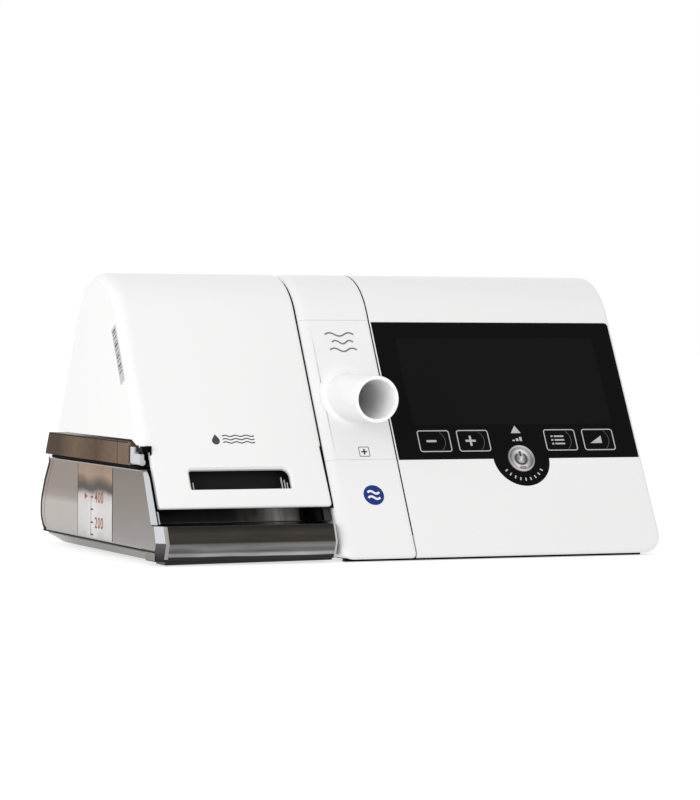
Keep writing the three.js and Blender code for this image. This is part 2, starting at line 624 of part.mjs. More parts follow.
function tankLid() {
  const side = [[LID.y0 - 7, LID.z0], [82, LID.z0], [LID.y1, LID.z1], [LID.y0, LID.z1]];
  const body = alongX(outline(side), LEFT_X, TUB.x1);
  const depths = [-4, LID.wall, LID.wall, LID.wall];
  const cavity = alongX(outline(insetOutline(side, depths)), LEFT_X + LID.wall, TUB.x1 - LID.wall);
  const hole = (y) => alongZ(disc(-68, y, 6.5), LID.z0, LID.z1 + 1);
  const seat = box(LEFT_X - 1, LATCH.x1 + GAP, -70, LATCH.y1 + GAP, 40, 60);
  const wall = alongX(outline(side), LEFT_X, LATCH.x1 + GAP + LID.wall)
    .intersect(box(LATCH.x1 + GAP, LATCH.x1 + GAP + LID.wall, -70, LATCH.y1 + 4, 40, 60));
  const inside = box(LEFT_X, LATCH.x1 + GAP + LID.wall, LATCH.y1 + GAP, LATCH.y1 + GAP + LID.wall, 45, 55);
  return body.subtract(cavity).add(wall).add(inside.intersect(body)).subtract(seat)
    .subtract(hole(SUPPLY.y)).subtract(hole(RETURN.y));
}

// The clip that holds the lid down, turning outwards on its lower edge.
function tankLatch() {
  const { x1, y0, stepY, y1, z0, stepZ, z1, pin } = LATCH;
  const x0 = LEFT_X;
  const low = alongY(rect(x0, z0 + pin, x0 + 2.2, stepZ), y0, y1);
  const high = alongY(rect(x0, stepZ - 1, x0 + 2.2, z1), stepY, y1);
  const roll = alongY(disc(x0 + pin, z0 + pin, pin, 16), y0, y1);
  const hook = alongY(rect(x0 + 1, z1 - 2.2, x1, z1), stepY, y1);
  return low.add(high).add(roll).add(hook);
}

// ---- assembly -----------------------------------------------------------------------------

add('display_shell', displayShell(), WHITE);
add('outlet_shell', outletShell(), WHITE);
add('port_cover', portCover(), WHITE);
add('base_pan', basePan(), DARK);
SCREW_AT.forEach((place, i) => add(`base_screw_${i + 1}`, screw(place), STEEL));
FOOT_AT.forEach((place, i) => add(`rubber_foot_${i + 1}`, foot(place, 7, 1.5), RUBBER));

add('display_glass', displayGlass(), BLACK_GLASS);
KEY_NAMES.forEach((name, i) => add(name, key(i), BLACK_GLASS));
add('power_button', powerButton(), SILVER);
add('lcd_module', lcdModule(), GREY);
add('key_board', keyBoard(), BOARD);
add('main_board', mainBoard(), BOARD);

add('muffler_box', mufflerBox(), GREY);
add('muffler_lid', mufflerLid(), GREY);
add('muffler_foam', mufflerFoam(), FOAM);
add('blower_mount', blowerMount(), SILICONE);
add('blower_motor', blowerMotor(), STEEL);
add('motor_shaft', motorShaft(), STEEL);
add('impeller', impeller(), GREY);
add('blower_scroll', blowerScroll(), DARK);
add('blower_lid', blowerLid(), DARK);
add('supply_duct', supplyDuct(), SILICONE);
add('outlet_duct', outletDuct(), SILICONE);
add('supply_seal', couplingSeal(SUPPLY), SILICONE);
add('return_seal', couplingSeal(RETURN), SILICONE);

add('filter_door', filterDoor(), WHITE);
add('inlet_filter', inletFilter(), FILTER);
add('power_socket', powerSocket(), DARK);
add('dock_connector', dockConnector(), DARK);

add('dock_tray', dockTray(), DARK);
add('dock_wall', dockWall(), DARK);
add('hinge_rod', hingeRod(), STEEL);
add('heater_pad', plateSlab(GAP, 2.9, 3.9), SILICONE);
add('heater_plate', plateSlab(GAP, 4.2, 6.1), ALUMINIUM);
add('air_manifold', airManifold(), DARK);
DOCK_FEET.forEach((place, i) => add(`dock_foot_${i + 1}`, foot(place, 6, 0.9), RUBBER));
add('humidifier_cover', humidifierCover(), WHITE);

add('tank_tub', tankTub(), SMOKY);
add('tank_front', tankFront(), LID_SMOKY);
add('tank_plate', plateSlab(GAP, 6.6, 8.2), STEEL);
add('tank_gasket', tankGasket(), RUBBER);
add('tank_lid', tankLid(), LID_SMOKY);
add('tank_latch', tankLatch(), CLEAR);

export default ventilator;
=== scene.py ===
"""Looks of a bedside positive-airway-pressure ventilator with a docked humidifier.

Lengths are millimetres in the row frame until a mesh is made, and metres after that.
x runs along the front, y from front to back and z is up.
"""

import math

import bmesh
import bpy
from mathutils import Matrix, Vector


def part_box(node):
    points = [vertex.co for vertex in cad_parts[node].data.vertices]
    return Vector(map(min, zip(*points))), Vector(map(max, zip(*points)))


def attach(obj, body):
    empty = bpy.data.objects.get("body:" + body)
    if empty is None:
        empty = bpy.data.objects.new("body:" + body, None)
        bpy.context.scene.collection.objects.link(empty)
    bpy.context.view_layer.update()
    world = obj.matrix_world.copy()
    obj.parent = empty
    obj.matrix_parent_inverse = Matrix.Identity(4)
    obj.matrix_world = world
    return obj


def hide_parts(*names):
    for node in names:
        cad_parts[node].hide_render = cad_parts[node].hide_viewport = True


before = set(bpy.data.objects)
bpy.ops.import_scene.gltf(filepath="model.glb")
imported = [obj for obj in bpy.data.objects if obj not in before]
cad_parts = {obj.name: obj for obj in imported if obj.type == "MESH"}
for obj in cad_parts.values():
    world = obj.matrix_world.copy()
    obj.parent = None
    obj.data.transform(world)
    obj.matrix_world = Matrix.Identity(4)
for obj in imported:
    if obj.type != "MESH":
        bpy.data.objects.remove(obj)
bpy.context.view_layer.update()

MM = 0.001


def box_mm(node):
    """A CAD node's lowest and highest corner, in millimetres."""
    low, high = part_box(node)
    return low / MM, high / MM


# ---- the shared arch section ----

FRONT_TAN = 0.547  # lean of the front, run over rise
BACK_TAN = 0.558
ARCH_R = 33.3
FRONT_Y0 = -90.7  # where the front plane meets the table
shell_low, shell_high = box_mm("display_shell")
cover_low, cover_high = box_mm("humidifier_cover")
outlet_low, outlet_high = box_mm("outlet_shell")
BACK_Y = shell_high.y
ALPHA = math.atan(FRONT_TAN)
BETA = math.atan(BACK_TAN)
SIN_A, COS_A = math.sin(ALPHA), math.cos(ALPHA)
SIN_B, COS_B = math.sin(BETA), math.cos(BETA)
ARCH_Z = shell_high.z - ARCH_R
ARCH_Y = FRONT_Y0 + FRONT_TAN * ARCH_Z + ARCH_R / COS_A
BACK_Y0 = ARCH_Y + BACK_TAN * ARCH_Z + ARCH_R / COS_B
SHELL_Z = shell_low.z
WALL = 2.5
PORT = {"x": -20.65, "z": 76.3, "r": 11.0, "bore": 9.5, "y": -84.7, "back": -28.0, "fillet": 3.0}

# ---- camera ----

CAMERA_AT = Vector((-0.65678, -1.55842, 0.12046))
CAMERA_YAW, CAMERA_PITCH, CAMERA_ROLL = map(math.radians, (22.892, 1.592, 0.39))
CAMERA_LENS = 153.91


def make_camera():
    ahead = Vector((
        math.sin(CAMERA_YAW) * math.cos(CAMERA_PITCH),
        math.cos(CAMERA_YAW) * math.cos(CAMERA_PITCH),
        -math.sin(CAMERA_PITCH),
    ))
    level = Vector((math.cos(CAMERA_YAW), -math.sin(CAMERA_YAW), 0))
    upright = level.cross(ahead)
    right = math.cos(CAMERA_ROLL) * level + math.sin(CAMERA_ROLL) * upright
    up = math.cos(CAMERA_ROLL) * upright - math.sin(CAMERA_ROLL) * level
    data = bpy.data.cameras.new("camera")
    data.lens = CAMERA_LENS
    data.clip_start = 0.05
    data.clip_end = 50
    camera = bpy.data.objects.new("camera", data)
    bpy.context.scene.collection.objects.link(camera)
    turn = Matrix((right, up, -ahead)).transposed()
    camera.matrix_world = Matrix.Translation(CAMERA_AT) @ turn.to_4x4()
    bpy.context.scene.camera = camera


make_camera()

# ---- materials ----

FINE_GRAIN = 2600


def feed(tree, node, key, value):
    """Feeds an input, by name or by number (_0, _1, _2), with a constant or an output."""
    socket = node.inputs[int(key[1:]) if key[1:].isdigit() else key.replace("_", " ")]
    if isinstance(value, bpy.types.NodeSocket):
        tree.links.new(value, socket)
    else:
        socket.default_value = value


def add_node(tree, kind, mode=None, **feeds):
    made = tree.nodes.new("ShaderNode" + kind)
    if mode:
        setattr(made, "data_type" if kind == "Mix" else "operation", mode)
    for key, value in feeds.items():
        feed(tree, made, key, value)
    return made


def finish(name, tint, rough, vary=0.03, bump=0.02, rough_vary=0.04, **sockets):
    """A Principled material whose tint, roughness and surface vary a little over the piece."""
    made = bpy.data.materials.new(name)
    made.use_nodes = True
    tree = made.node_tree
    where = add_node(tree, "TexCoord").outputs["Object"]
    broad = add_node(tree, "TexNoise", Vector=where, Scale=14, Detail=3).outputs["Fac"]
    fine = add_node(tree, "TexNoise", Vector=where, Scale=FINE_GRAIN, Detail=2).outputs["Fac"]
    low, high = ([min(1.0, c * gain) for c in tint] for gain in (1 - vary, 1 + vary))
    mix = add_node(tree, "Mix", "RGBA", Factor=broad, A=(*low, 1), B=(*high, 1))
    spread = add_node(tree, "MapRange", Value=fine, To_Min=rough - rough_vary,
                      To_Max=rough + rough_vary)
    relief = add_node(tree, "Bump", Height=fine, Strength=bump, Distance=0.0002)
    shader = tree.nodes["Principled BSDF"]
    feed(tree, shader, "Base_Color", mix.outputs["Result"])
    feed(tree, shader, "Roughness", spread.outputs["Result"])
    feed(tree, shader, "Normal", relief.outputs["Normal"])
    for key, value in sockets.items():
        feed(tree, shader, key, value)
    return made


def tint_by(tree, place, stops, gain):
    """Tints the material by stops of (place from 0 to 1, tint), times a gain."""
    ramp = add_node(tree, "ValToRGB", Fac=place)
    band = ramp.color_ramp
    for element, (_, tint) in zip(band.elements, (stops[0], stops[-1])):
        element.color = (*tint, 1)
    for at, tint in stops[1:-1]:
        band.elements.new(at).color = (*tint, 1)
    scale = add_node(tree, "VectorMath", "SCALE", _0=ramp.outputs["Color"], Scale=gain)
    feed(tree, tree.nodes["Principled BSDF"], "Base_Color", scale.outputs["Vector"])


def graded(name, axis, stops, rough, swirl=0.0, streak=(40, 40, 40), amount=0.06, centre=None,
           **sockets):
    """A finish whose tint follows stops of (millimetre, tint) along an axis, or from a centre.

    With a centre, the distance is measured at right angles to the axis.
    """
    made = finish(name, stops[0][1], rough, bump=0.0, **sockets)
    tree = made.node_tree
    where = add_node(tree, "TexCoord").outputs["Object"]
    if centre:
        across = [0 if letter == axis else 1 for letter in "XYZ"]
        flat = add_node(tree, "VectorMath", "MULTIPLY", _0=where, _1=across).outputs["Vector"]
        middle = [value * MM for value in centre]
        reach = add_node(tree, "VectorMath", "DISTANCE", _0=flat, _1=middle)
        measure = reach.outputs["Value"]
    else:
        measure = add_node(tree, "SeparateXYZ", Vector=where).outputs[axis]
    stretch = add_node(tree, "VectorMath", "MULTIPLY", _0=where, _1=streak).outputs["Vector"]
    noise = add_node(tree, "TexNoise", Vector=stretch, Scale=1, Detail=4).outputs["Fac"]
    shift = add_node(tree, "Math", "MULTIPLY_ADD", _0=noise, _1=swirl * MM, _2=measure)
    low, high = stops[0][0], stops[-1][0]
    spread = add_node(tree, "MapRange", Value=shift.outputs["Value"],
                      From_Min=(low + swirl / 2) * MM, From_Max=(high + swirl / 2) * MM)
    gain = add_node(tree, "MapRange", Value=noise, From_Min=0.3, From_Max=0.7,
                    To_Min=1 - amount, To_Max=1 + amount)
    places = [((at - low) / (high - low), tint) for at, tint in stops]
    tint_by(tree, spread.outputs["Result"], places, gain.outputs["Result"])
    return made


WHITE = finish("white_gloss", (0.70, 0.70, 0.698), 0.25, vary=0.006, bump=0.01)
GLASS = finish("black_glass", (0.002, 0.002, 0.0022), 0.06, rough_vary=0.01, bump=0.0,
               Specular_IOR_Level=0.05)
SCREEN = finish("screen_glass", (0.004, 0.004, 0.0042), 0.12, rough_vary=0.02, bump=0.0,
                Specular_IOR_Level=0.05)
DARK = finish("dark_plastic", (0.014, 0.014, 0.015), 0.42, bump=0.08, Specular_IOR_Level=0.35)
SMOKY = graded("smoky_clear", "Z", (
    (6, (0.30, 0.28, 0.262)), (10, (0.34, 0.315, 0.295)), (22, (0.345, 0.315, 0.292)),
    (25.5, (0.22, 0.18, 0.158)), (30, (0.175, 0.138, 0.116)), (44, (0.18, 0.142, 0.118)),
), 0.14, swirl=2.5, streak=(30, 12, 30), Specular_IOR_Level=0.12)
SMOKY_FRONT = graded("smoky_front", "Z", (
    (6, (0.235, 0.222, 0.21)), (12, (0.19, 0.174, 0.162)), (22, (0.165, 0.147, 0.132)),
    (31, (0.15, 0.122, 0.103)), (44, (0.128, 0.10, 0.083)),
), 0.14, swirl=2, streak=(30, 16, 30), Specular_IOR_Level=0.1)
RIM = finish("smoky_rim", (0.26, 0.245, 0.23), 0.2, vary=0.1, Specular_IOR_Level=0.1)
BROWN = graded("smoky_brown", "Y", (
    (-50, (0.13, 0.088, 0.058)), (-30, (0.125, 0.085, 0.055)), (-12, (0.10, 0.062, 0.037)),
    (2, (0.06, 0.032, 0.015)), (14, (0.08, 0.046, 0.024)), (34, (0.108, 0.066, 0.035)),
    (48, (0.08, 0.046, 0.022)), (60, (0.04, 0.018, 0.006)), (82, (0.04, 0.018, 0.006)),
), 0.2, streak=(900, 500, 400), amount=0.2, Specular_IOR_Level=0.02)
TRAY = graded("smoky_tray", "Y", (
    (-90, (0.16, 0.156, 0.152)), (-60, (0.11, 0.106, 0.102)), (-10, (0.075, 0.071, 0.067)),
    (22, (0.075, 0.071, 0.067)), (46, (0.11, 0.106, 0.102)), (76, (0.36, 0.355, 0.35)),
    (88, (0.45, 0.445, 0.44)),
), 0.2, streak=(20, 10, 20), amount=0.15, Specular_IOR_Level=0.15)
# Bands along z: the bright line at z 4.5 to 5.4 and the grey band at z 6 to 10 are painted
# highlights; the black and brown bands are the grip's own smoky tint.
BUMPER_WITH_HIGHLIGHTS = graded("smoky_black", "Z", (
    (1.5, (0.008, 0.008, 0.008)), (3.9, (0.012, 0.012, 0.012)), (4.5, (0.30, 0.30, 0.30)),
    (5.4, (0.26, 0.26, 0.26)), (6.2, (0.085, 0.083, 0.083)), (8.6, (0.15, 0.147, 0.146)),
    (9.8, (0.11, 0.105, 0.102)), (10.6, (0.02, 0.016, 0.012)), (14.5, (0.026, 0.021, 0.016)),
    (17.2, (0.008, 0.006, 0.004)), (18.5, (0.002, 0.002, 0.002)),
), 0.18, swirl=0.5, streak=(40, 40, 500), amount=0.3, Specular_IOR_Level=0.22)
# Painted shade: darker towards the bottom, on the lower, down-facing half of the grip's end facet.
SHADED_HEEL = graded("smoky_heel", "Z", (
    (2, (0.012, 0.012, 0.012)), (5, (0.035, 0.033, 0.034)), (8, (0.065, 0.062, 0.066)),
    (10.5, (0.09, 0.087, 0.092)),
), 0.18, amount=0.2, Specular_IOR_Level=0.05)
CLEAR = finish("clear_plastic", (0.42, 0.425, 0.45), 0.25, vary=0.08, bump=0.01, IOR=1.46)
RUBBER = finish("rubber", (0.006, 0.006, 0.006), 0.75, bump=0.15, Specular_IOR_Level=0.03)
SILICONE = finish("silicone", (0.5, 0.51, 0.51), 0.5, bump=0.05)
STEEL = finish("steel", (0.45, 0.46, 0.47), 0.3, Metallic=1.0)
ALUMINIUM = finish("aluminium", (0.6, 0.61, 0.62), 0.35, Metallic=1.0)
BOARD = finish("circuit_board", (0.02, 0.13, 0.05), 0.4, vary=0.2)
FOAM = finish("foam", (0.06, 0.06, 0.065), 0.95, vary=0.4, bump=0.8)
FLEECE = finish("filter_fleece", (0.7, 0.71, 0.7), 0.95, vary=0.1, bump=0.8)
GREY = finish("grey_plastic", (0.25, 0.26, 0.27), 0.5)
MARK_PRINT = finish("mark_print", (0.13, 0.13, 0.13), 0.5, vary=0.05)
GREY_PRINT = finish("grey_print", (0.38, 0.38, 0.38), 0.5, vary=0.05)
DARK_PRINT = finish("dark_print", (0.03, 0.03, 0.032), 0.5, vary=0.1)
RED_PRINT = finish("red_print", (0.26, 0.075, 0.055), 0.5, vary=0.1, Specular_IOR_Level=0.05)
BLUE_PRINT = finish("blue_print", (0.003, 0.022, 0.17), 0.4, vary=0.05, Specular_IOR_Level=0.2)
SLATE = finish("slate", (0.012, 0.012, 0.012), 0.4, vary=0.3, Specular_IOR_Level=0.08)
PITCH = finish("pitch_black", (0.003, 0.003, 0.003), 0.4, vary=0.2, Specular_IOR_Level=0.03)
SOFT_LINE = finish("soft_line", (0.045, 0.045, 0.046), 0.5, vary=0.1)
# Painted shade: the window shows the tank's inside as colour along z, pale below z 25, a dark band
# at z 30 to 33, and brown above, which is the brown lid seen through the wall with painted shade
# under it.
SHADED_PANE = graded("window", "Z", (
    (6, (0.38, 0.37, 0.36)), (9, (0.46, 0.445, 0.43)), (14, (0.51, 0.50, 0.49)),
    (25, (0.51, 0.495, 0.485)), (28, (0.40, 0.37, 0.35)), (30, (0.12, 0.10, 0.085)),
    (31, (0.04, 0.033, 0.025)), (33, (0.045, 0.035, 0.022)), (35.5, (0.14, 0.09, 0.055)),
    (38, (0.25, 0.172, 0.12)), (43, (0.23, 0.155, 0.105)),
), 0.14, swirl=6, streak=(60, 55, 60), amount=0.14, Specular_IOR_Level=0.06)
# Painted reflection: the grey band along x, from about -72 to -50, is a sheen painted on the black
# recess.
SHEEN = graded("black_sheen", "X", (
    (-130, (0.004, 0.004, 0.004)), (-86, (0.006, 0.006, 0.006)), (-72, (0.05, 0.048, 0.046)),
    (-62, (0.25, 0.24, 0.228)), (-54, (0.21, 0.20, 0.188)), (-50, (0.008, 0.008, 0.008)),
    (-40, (0.005, 0.005, 0.005)),
), 0.3, streak=(300, 300, 60), amount=0.4, Specular_IOR_Level=0.12)
ENDS = finish("smoky_end", (0.42, 0.42, 0.42), 0.15, vary=0.25, Specular_IOR_Level=0.4)
# Painted light: lighter on the hose cone and its fillet than on the band around them, to lift the
# shade that falls there.
LIT_PORT_WHITE = graded("port_white_lit", "Y", (
    (0, (0.79, 0.79, 0.788)), (12, (0.77, 0.77, 0.768)), (17, (0.715, 0.715, 0.713)),
    (24, (0.70, 0.70, 0.698)),
), 0.25, amount=0.006, centre=(PORT["x"], 0, PORT["z"]))
# Painted light: a much lighter white for the inside of the bore, standing in for light that
# reaches into it.
LIT_BORE_WHITE = finish("bore_white_lit", (0.93, 0.93, 0.928), 0.3, vary=0.006, bump=0.01)
LABEL = finish("label_paper", (0.42, 0.43, 0.44), 0.6, vary=0.05)

NODE_FINISH = {node: looks for looks, nodes in (
    (GREY, "lcd_module muffler_box muffler_lid impeller"),
    (BOARD, "key_board main_board"),
    (FOAM, "muffler_foam"),
    (SILICONE, "blower_mount supply_duct outlet_duct supply_seal return_seal heater_pad"),
    (STEEL, "blower_motor motor_shaft hinge_rod tank_plate base_screw"),
    (DARK, "blower_scroll blower_lid dock_connector dock_wall air_manifold"),
    (FLEECE, "inlet_filter"),
    (ALUMINIUM, "heater_plate"),
    (RUBBER, "rubber_foot dock_foot"),
) for node in nodes.split()}
for node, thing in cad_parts.items():
    kind = node.rstrip("_0123456789")
    if kind in NODE_FINISH:
        thing.data.materials.clear()
        thing.data.materials.append(NODE_FINISH[kind])

# ---- outlines ----


def rounded(points, radii, steps=5):
    """A closed outline with an arc of the given radius at each corner."""
    made = []
    count = len(points)
    for i, here in enumerate(points):
        radius = radii[i] if hasattr(radii, "__len__") else radii
        here = Vector(here)
        if radius <= 0:
            made.append(here)
            continue
        back = (Vector(points[i - 1]) - here).normalized()
        on = (Vector(points[(i + 1) % count]) - here).normalized()
        half = back.angle(on) / 2
        centre = here + (back + on).normalized() * (radius / math.sin(half))
        start = here + back * (radius / math.tan(half)) - centre
        end = here + on * (radius / math.tan(half)) - centre
        turn = start.angle_signed(end)
        for k in range(steps + 1):
            made.append(centre + Matrix.Rotation(-turn * k / steps, 2) @ start)
    return made


def rect(a0, b0, a1, b1, radius=0.0, steps=5):
    return rounded([(a0, b0), (a1, b0), (a1, b1), (a0, b1)], radius, steps)


def around(low, high, margin, radius):
    """A rectangle around a box, seen from above."""
    return rect(low.x - margin, low.y - margin, high.x + margin, high.y + margin, radius)


def circle(a, b, radius, sides=48):
    return [(a + radius * math.cos(2 * math.pi * i / sides),
             b + radius * math.sin(2 * math.pi * i / sides)) for i in range(sides)]


def arc(a, b, radius, start, end, sides=24):
    """Points of an arc; angles in degrees."""
    return [(a + radius * math.cos(math.radians(start + (end - start) * i / sides)),
             b + radius * math.sin(math.radians(start + (end - start) * i / sides)))
            for i in range(sides + 1)]


def section(inset, z0, corner=0.0, arcs=36):
    """The arch outline (y, z), moved inwards by inset and closed at z0."""
    front = FRONT_Y0 + inset / COS_A
    back = BACK_Y0 - inset / COS_B
    wall = BACK_Y - inset
    knee = (back - wall) / BACK_TAN
    top = arc(ARCH_Y, ARCH_Z, ARCH_R - inset, 180 - math.degrees(ALPHA), math.degrees(BETA), arcs)
    points = [(front + FRONT_TAN * z0, z0), *top]
    if knee > z0:
        points += [(wall, knee), (wall, z0)]
    else:
        points += [(back - BACK_TAN * (z0 + 1), z0 + 1), (back - BACK_TAN * z0, z0)]
    last = min(corner, max(0.05, 0.6 * (knee - z0))) if corner else 0.0
    radii = [corner] + [0.0] * len(top) + [0.0, last]
    return rounded(points, radii, 4)


# ---- meshes ----


def stroke(points, width):
    """The outline of a line of the given width along open points."""
    points = [Vector(p) for p in points]
    left, right = [], []
    for i, here in enumerate(points):
        ahead = points[min(i + 1, len(points) - 1)] - points[max(i - 1, 0)]
        side = Vector((-ahead.y, ahead.x)).normalized() * (width / 2)
        left.append(here + side)
        right.append(here - side)
    return left + right[::-1]


def along_x(a, b, c):
    return c, a, b


def along_y(a, b, c):
    return a, c, b


def along_z(a, b, c):
    return a, b, c


def on_front(x, v, n):
    """x, v up the slant and n out of it, for the slanted front."""
    return x, FRONT_Y0 + v * SIN_A - n * COS_A, v * COS_A + n * SIN_A


def on_back(x, v, n):
    return x, BACK_Y0 - v * SIN_B + n * COS_B, v * COS_B + n * SIN_B


def mesh_object(name, build):
    """A new object whose mesh build(bm) fills."""
    bm = bmesh.new()
    build(bm)
    bmesh.ops.recalc_face_normals(bm, faces=bm.faces)
    mesh = bpy.data.meshes.new(name)
    bm.to_mesh(mesh)
    bm.free()
    made = bpy.data.objects.new(name, mesh)
    bpy.context.scene.collection.objects.link(made)
    return made


def loft(name, rings, closed=False):
    """A solid through rings of (x, y, z) points: capped at both ends, or closed on itself."""
    def build(bm):
        rows = [[bm.verts.new(Vector(p) * MM) for p in ring] for ring in rings]
        pairs = list(zip(rows, rows[1:]))
        if closed:
            pairs.append((rows[-1], rows[0]))
        count = len(rows[0])
        for low, high in pairs:
            for i in range(count):
                j = (i + 1) % count
                bm.faces.new((low[i], low[j], high[j], high[i]))
        if not closed:
            bm.faces.new(rows[0][::-1])
            bm.faces.new(rows[-1])
    return mesh_object(name, build)


def prism(name, outline, c0, c1, place=along_x):
    """A solid with the given outline between two depths, along x unless place says otherwise."""
    return loft(name, [[place(a, b, c) for a, b in outline] for c in (c0, c1)])


def hoop(name, outer, inner, c0, c1, place=along_x):
    """A ring-shaped prism between two outlines with as many points."""
    rings = [[place(*p, c0) for p in outer], [place(*p, c1) for p in outer],
             [place(*p, c1) for p in inner], [place(*p, c0) for p in inner]]
    return loft(name, rings, closed=True)


def block(name, x0, x1, y0, y1, z0, z1):
    return prism(name, rect(x0, y0, x1, y1), z0, z1, along_z)


def applied(thing):
    """The same object with its modifiers applied."""
    graph = bpy.context.evaluated_depsgraph_get()
    mesh = bpy.data.meshes.new_from_object(thing.evaluated_get(graph))
    old = thing.data
    thing.modifiers.clear()
    thing.data = mesh
    bpy.data.meshes.remove(old)
    return thing


def drop(thing):
    mesh = thing.data
    bpy.data.objects.remove(thing)
    bpy.data.meshes.remove(mesh)


def combine(thing, other, operation):
    change = thing.modifiers.new("boolean", "BOOLEAN")
    change.object = other
    change.operation = operation
    change.solver = "EXACT"
    applied(thing)
    drop(other)
    return thing


def cut(thing, other):
    return combine(thing, other, "DIFFERENCE")


def joined(thing, other):
    return combine(thing, other, "UNION")


def pierce(thing, outline, c0, c1, place=along_x):
    """Cuts a hole of the given outline between two depths."""
    return cut(thing, prism("hole", outline, c0, c1, place))


def extend(thing, outline, c0, c1, place=along_x):
    return joined(thing, prism("addition", outline, c0, c1, place))


def tidied(thing):
    """Joins points that a cut left almost together, and splits faces with many corners."""
    bm = bmesh.new()
    bm.from_mesh(thing.data)
    bmesh.ops.remove_doubles(bm, verts=bm.verts, dist=0.00002)
    bmesh.ops.dissolve_degenerate(bm, edges=bm.edges, dist=0.00001)
    wide = [face for face in bm.faces if len(face.verts) > 4]
    bmesh.ops.triangulate(bm, faces=wide, ngon_method="EAR_CLIP")
    bm.to_mesh(thing.data)
    bm.free()
    return thing


SHARP = math.radians(32)  # edges that turn more than this are rounded


def soften(thing, width):
    tidied(thing)
    edge = thing.modifiers.new("bevel", "BEVEL")
    edge.width = width * MM
    edge.segments = 2
    edge.limit_method = "ANGLE"
    edge.angle_limit = SHARP
    edge.use_clamp_overlap = True
    return applied(thing)


def shade(thing, angle):
    for face in thing.data.polygons:
        face.use_smooth = True
    thing.data.set_sharp_from_angle(angle=math.radians(angle))
    weigh = thing.modifiers.new("weighted", "WEIGHTED_NORMAL")
    weigh.keep_sharp = True
    weigh.weight = 60
    return applied(thing)


def dress(thing, body, looks):
    """Gives a piece its material and body."""
    thing.data.materials.clear()
    thing.data.materials.append(looks)
    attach(thing, body)


def piece(thing, body, looks, *replaces, slot=None, edge=0.0, smooth=40):
    """Finishes a piece: edges, shading, material, body and the CAD nodes it stands for; the slot
    argument is not used.
    """
    if edge:
        soften(thing, edge)
    shade(thing, smooth)
    dress(thing, body, looks)
    if replaces:
        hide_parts(*replaces)
    return thing


# ---- housings ----

FOOT_R = 2.0  # round-over along the lower edge
CORNER_R = 10.0  # the display unit's lower right corner
END_R = 2.2  # round-over of its right end
LEFT_EDGE = (6.0, 3.0)  # width and depth of the outlet section's left round-over
COVER_EDGE = (6.0, 4.0)  # and of the cover's
LIP = 1.1  # how far the housings reach below their CAD edge, over the feet
SEAM = 0.3


def quarter(count):
    return [math.pi / 2 * i / count for i in range(count + 1)]


def display_rings():
    """Rings of the display housing: its lower right corner is round."""
    right = shell_high.x
    stations = [shell_low.x, right - CORNER_R, right - 7.5, right - 5, right - 3.4]
    stations += [right - END_R + END_R * math.sin(t) for t in quarter(6)]
    rings = []
    for x in stations:
        lift = CORNER_R - math.sqrt(max(0, CORNER_R ** 2 - max(0, x - right + CORNER_R) ** 2))
        over = max(0, x - right + END_R)
        inset = END_R - math.sqrt(max(0, END_R ** 2 - over ** 2))
        outline = section(inset, SHELL_Z - LIP + lift * 0.9 + inset * 0.6, FOOT_R)
        rings.append([along_x(y, z, x) for y, z in outline])
    return rings


def left_rings(x0, x1, edge, z0, corner, end):
    """Rings of a housing: round-over at its left, pairs (before the end, inset) at its right."""
    width, depth = edge
    rings = [(x0 + width * (1 - math.sin(t)), depth * (1 - math.cos(t))) for t in quarter(8)]
    rings = sorted(rings) + [(x1 - before, inset) for before, inset in end]
    return [[along_x(y, z, x) for y, z in section(inset, z0 + inset, corner)]
            for x, inset in rings]


BELOW = -8  # a level under the whole housing


def hollow(thing, x0, x1):
    """Cuts out the inside of a housing between x0 and x1."""
    return pierce(thing, section(WALL, BELOW), x0, x1)


KEY_WELL = (8, 56.8, 120, 122)  # opening behind the control panel: x, v to x, v
VISIBLE = (10.5, 71.6, 117.5, 119.3)  # the part of the screen that shows: x, v to x, v
DOOR = {"v0": 36.0, "v1": 76.0, "thick": 2.2}
SOCKET = {"x": 22.0, "v": 36.0, "w": 9.0, "h": 7.0}  # middle, half width and half height
AIR = {"x": -68.0, "ys": (30.0, -2.0)}  # the air's way into the tank and out of it
PANEL = {"x0": -0.35, "x1": 128.0, "v0": 53.4, "v1": 127.7, "thick": 1.2, "corner": 1.6}
CONTROL_X = 64.1
TAB_R = 14.7


def panel_outline(margin):
    """The control panel with the round tab under the power button (x, v)."""
    x0, x1 = PANEL["x0"] - margin, PANEL["x1"] + margin
    v0, v1 = PANEL["v0"] - margin, PANEL["v1"] + margin
    corner = PANEL["corner"] + margin
    tab = arc(CONTROL_X, PANEL["v0"], TAB_R + margin, 180, 360, 32)
    tab = [(x, min(v, v0)) for x, v in tab]
    right = arc(x1 - corner, v1 - corner, corner, 0, 90, 5)
    return [(x0, v1), (x0, v0), *tab, (x1, v0), *right]


def socket_outline(margin, radius=0.0):
    w, h = SOCKET["w"] + margin, SOCKET["h"] + margin
    return rect(SOCKET["x"] - w, SOCKET["v"] - h, SOCKET["x"] + w, SOCKET["v"] + h, radius)


def make_display_housing():
    body = loft("display_housing", display_rings())
    hollow(body, shell_low.x - 5, shell_high.x - WALL)
    pierce(body, panel_outline(0.25), -PANEL["thick"] - 0.3, 3, on_front)
    pierce(body, rect(*KEY_WELL), -6, 1, on_front)
    pierce(body, circle(CONTROL_X, 53.2, 10), -6, 1, on_front)
    low, high = box_mm("filter_door")
    door = rect(low.x - SEAM, DOOR["v0"] - SEAM, high.x + SEAM, DOOR["v1"] + SEAM)
    pierce(body, door, -6, 3, on_back)
    pierce(body, socket_outline(SEAM), -6, 3, on_back)
    return piece(body, "housing", WHITE, "display_shell", edge=0.3)


BAND = {"v0": 53.6, "v1": 128.9, "depth": 12}


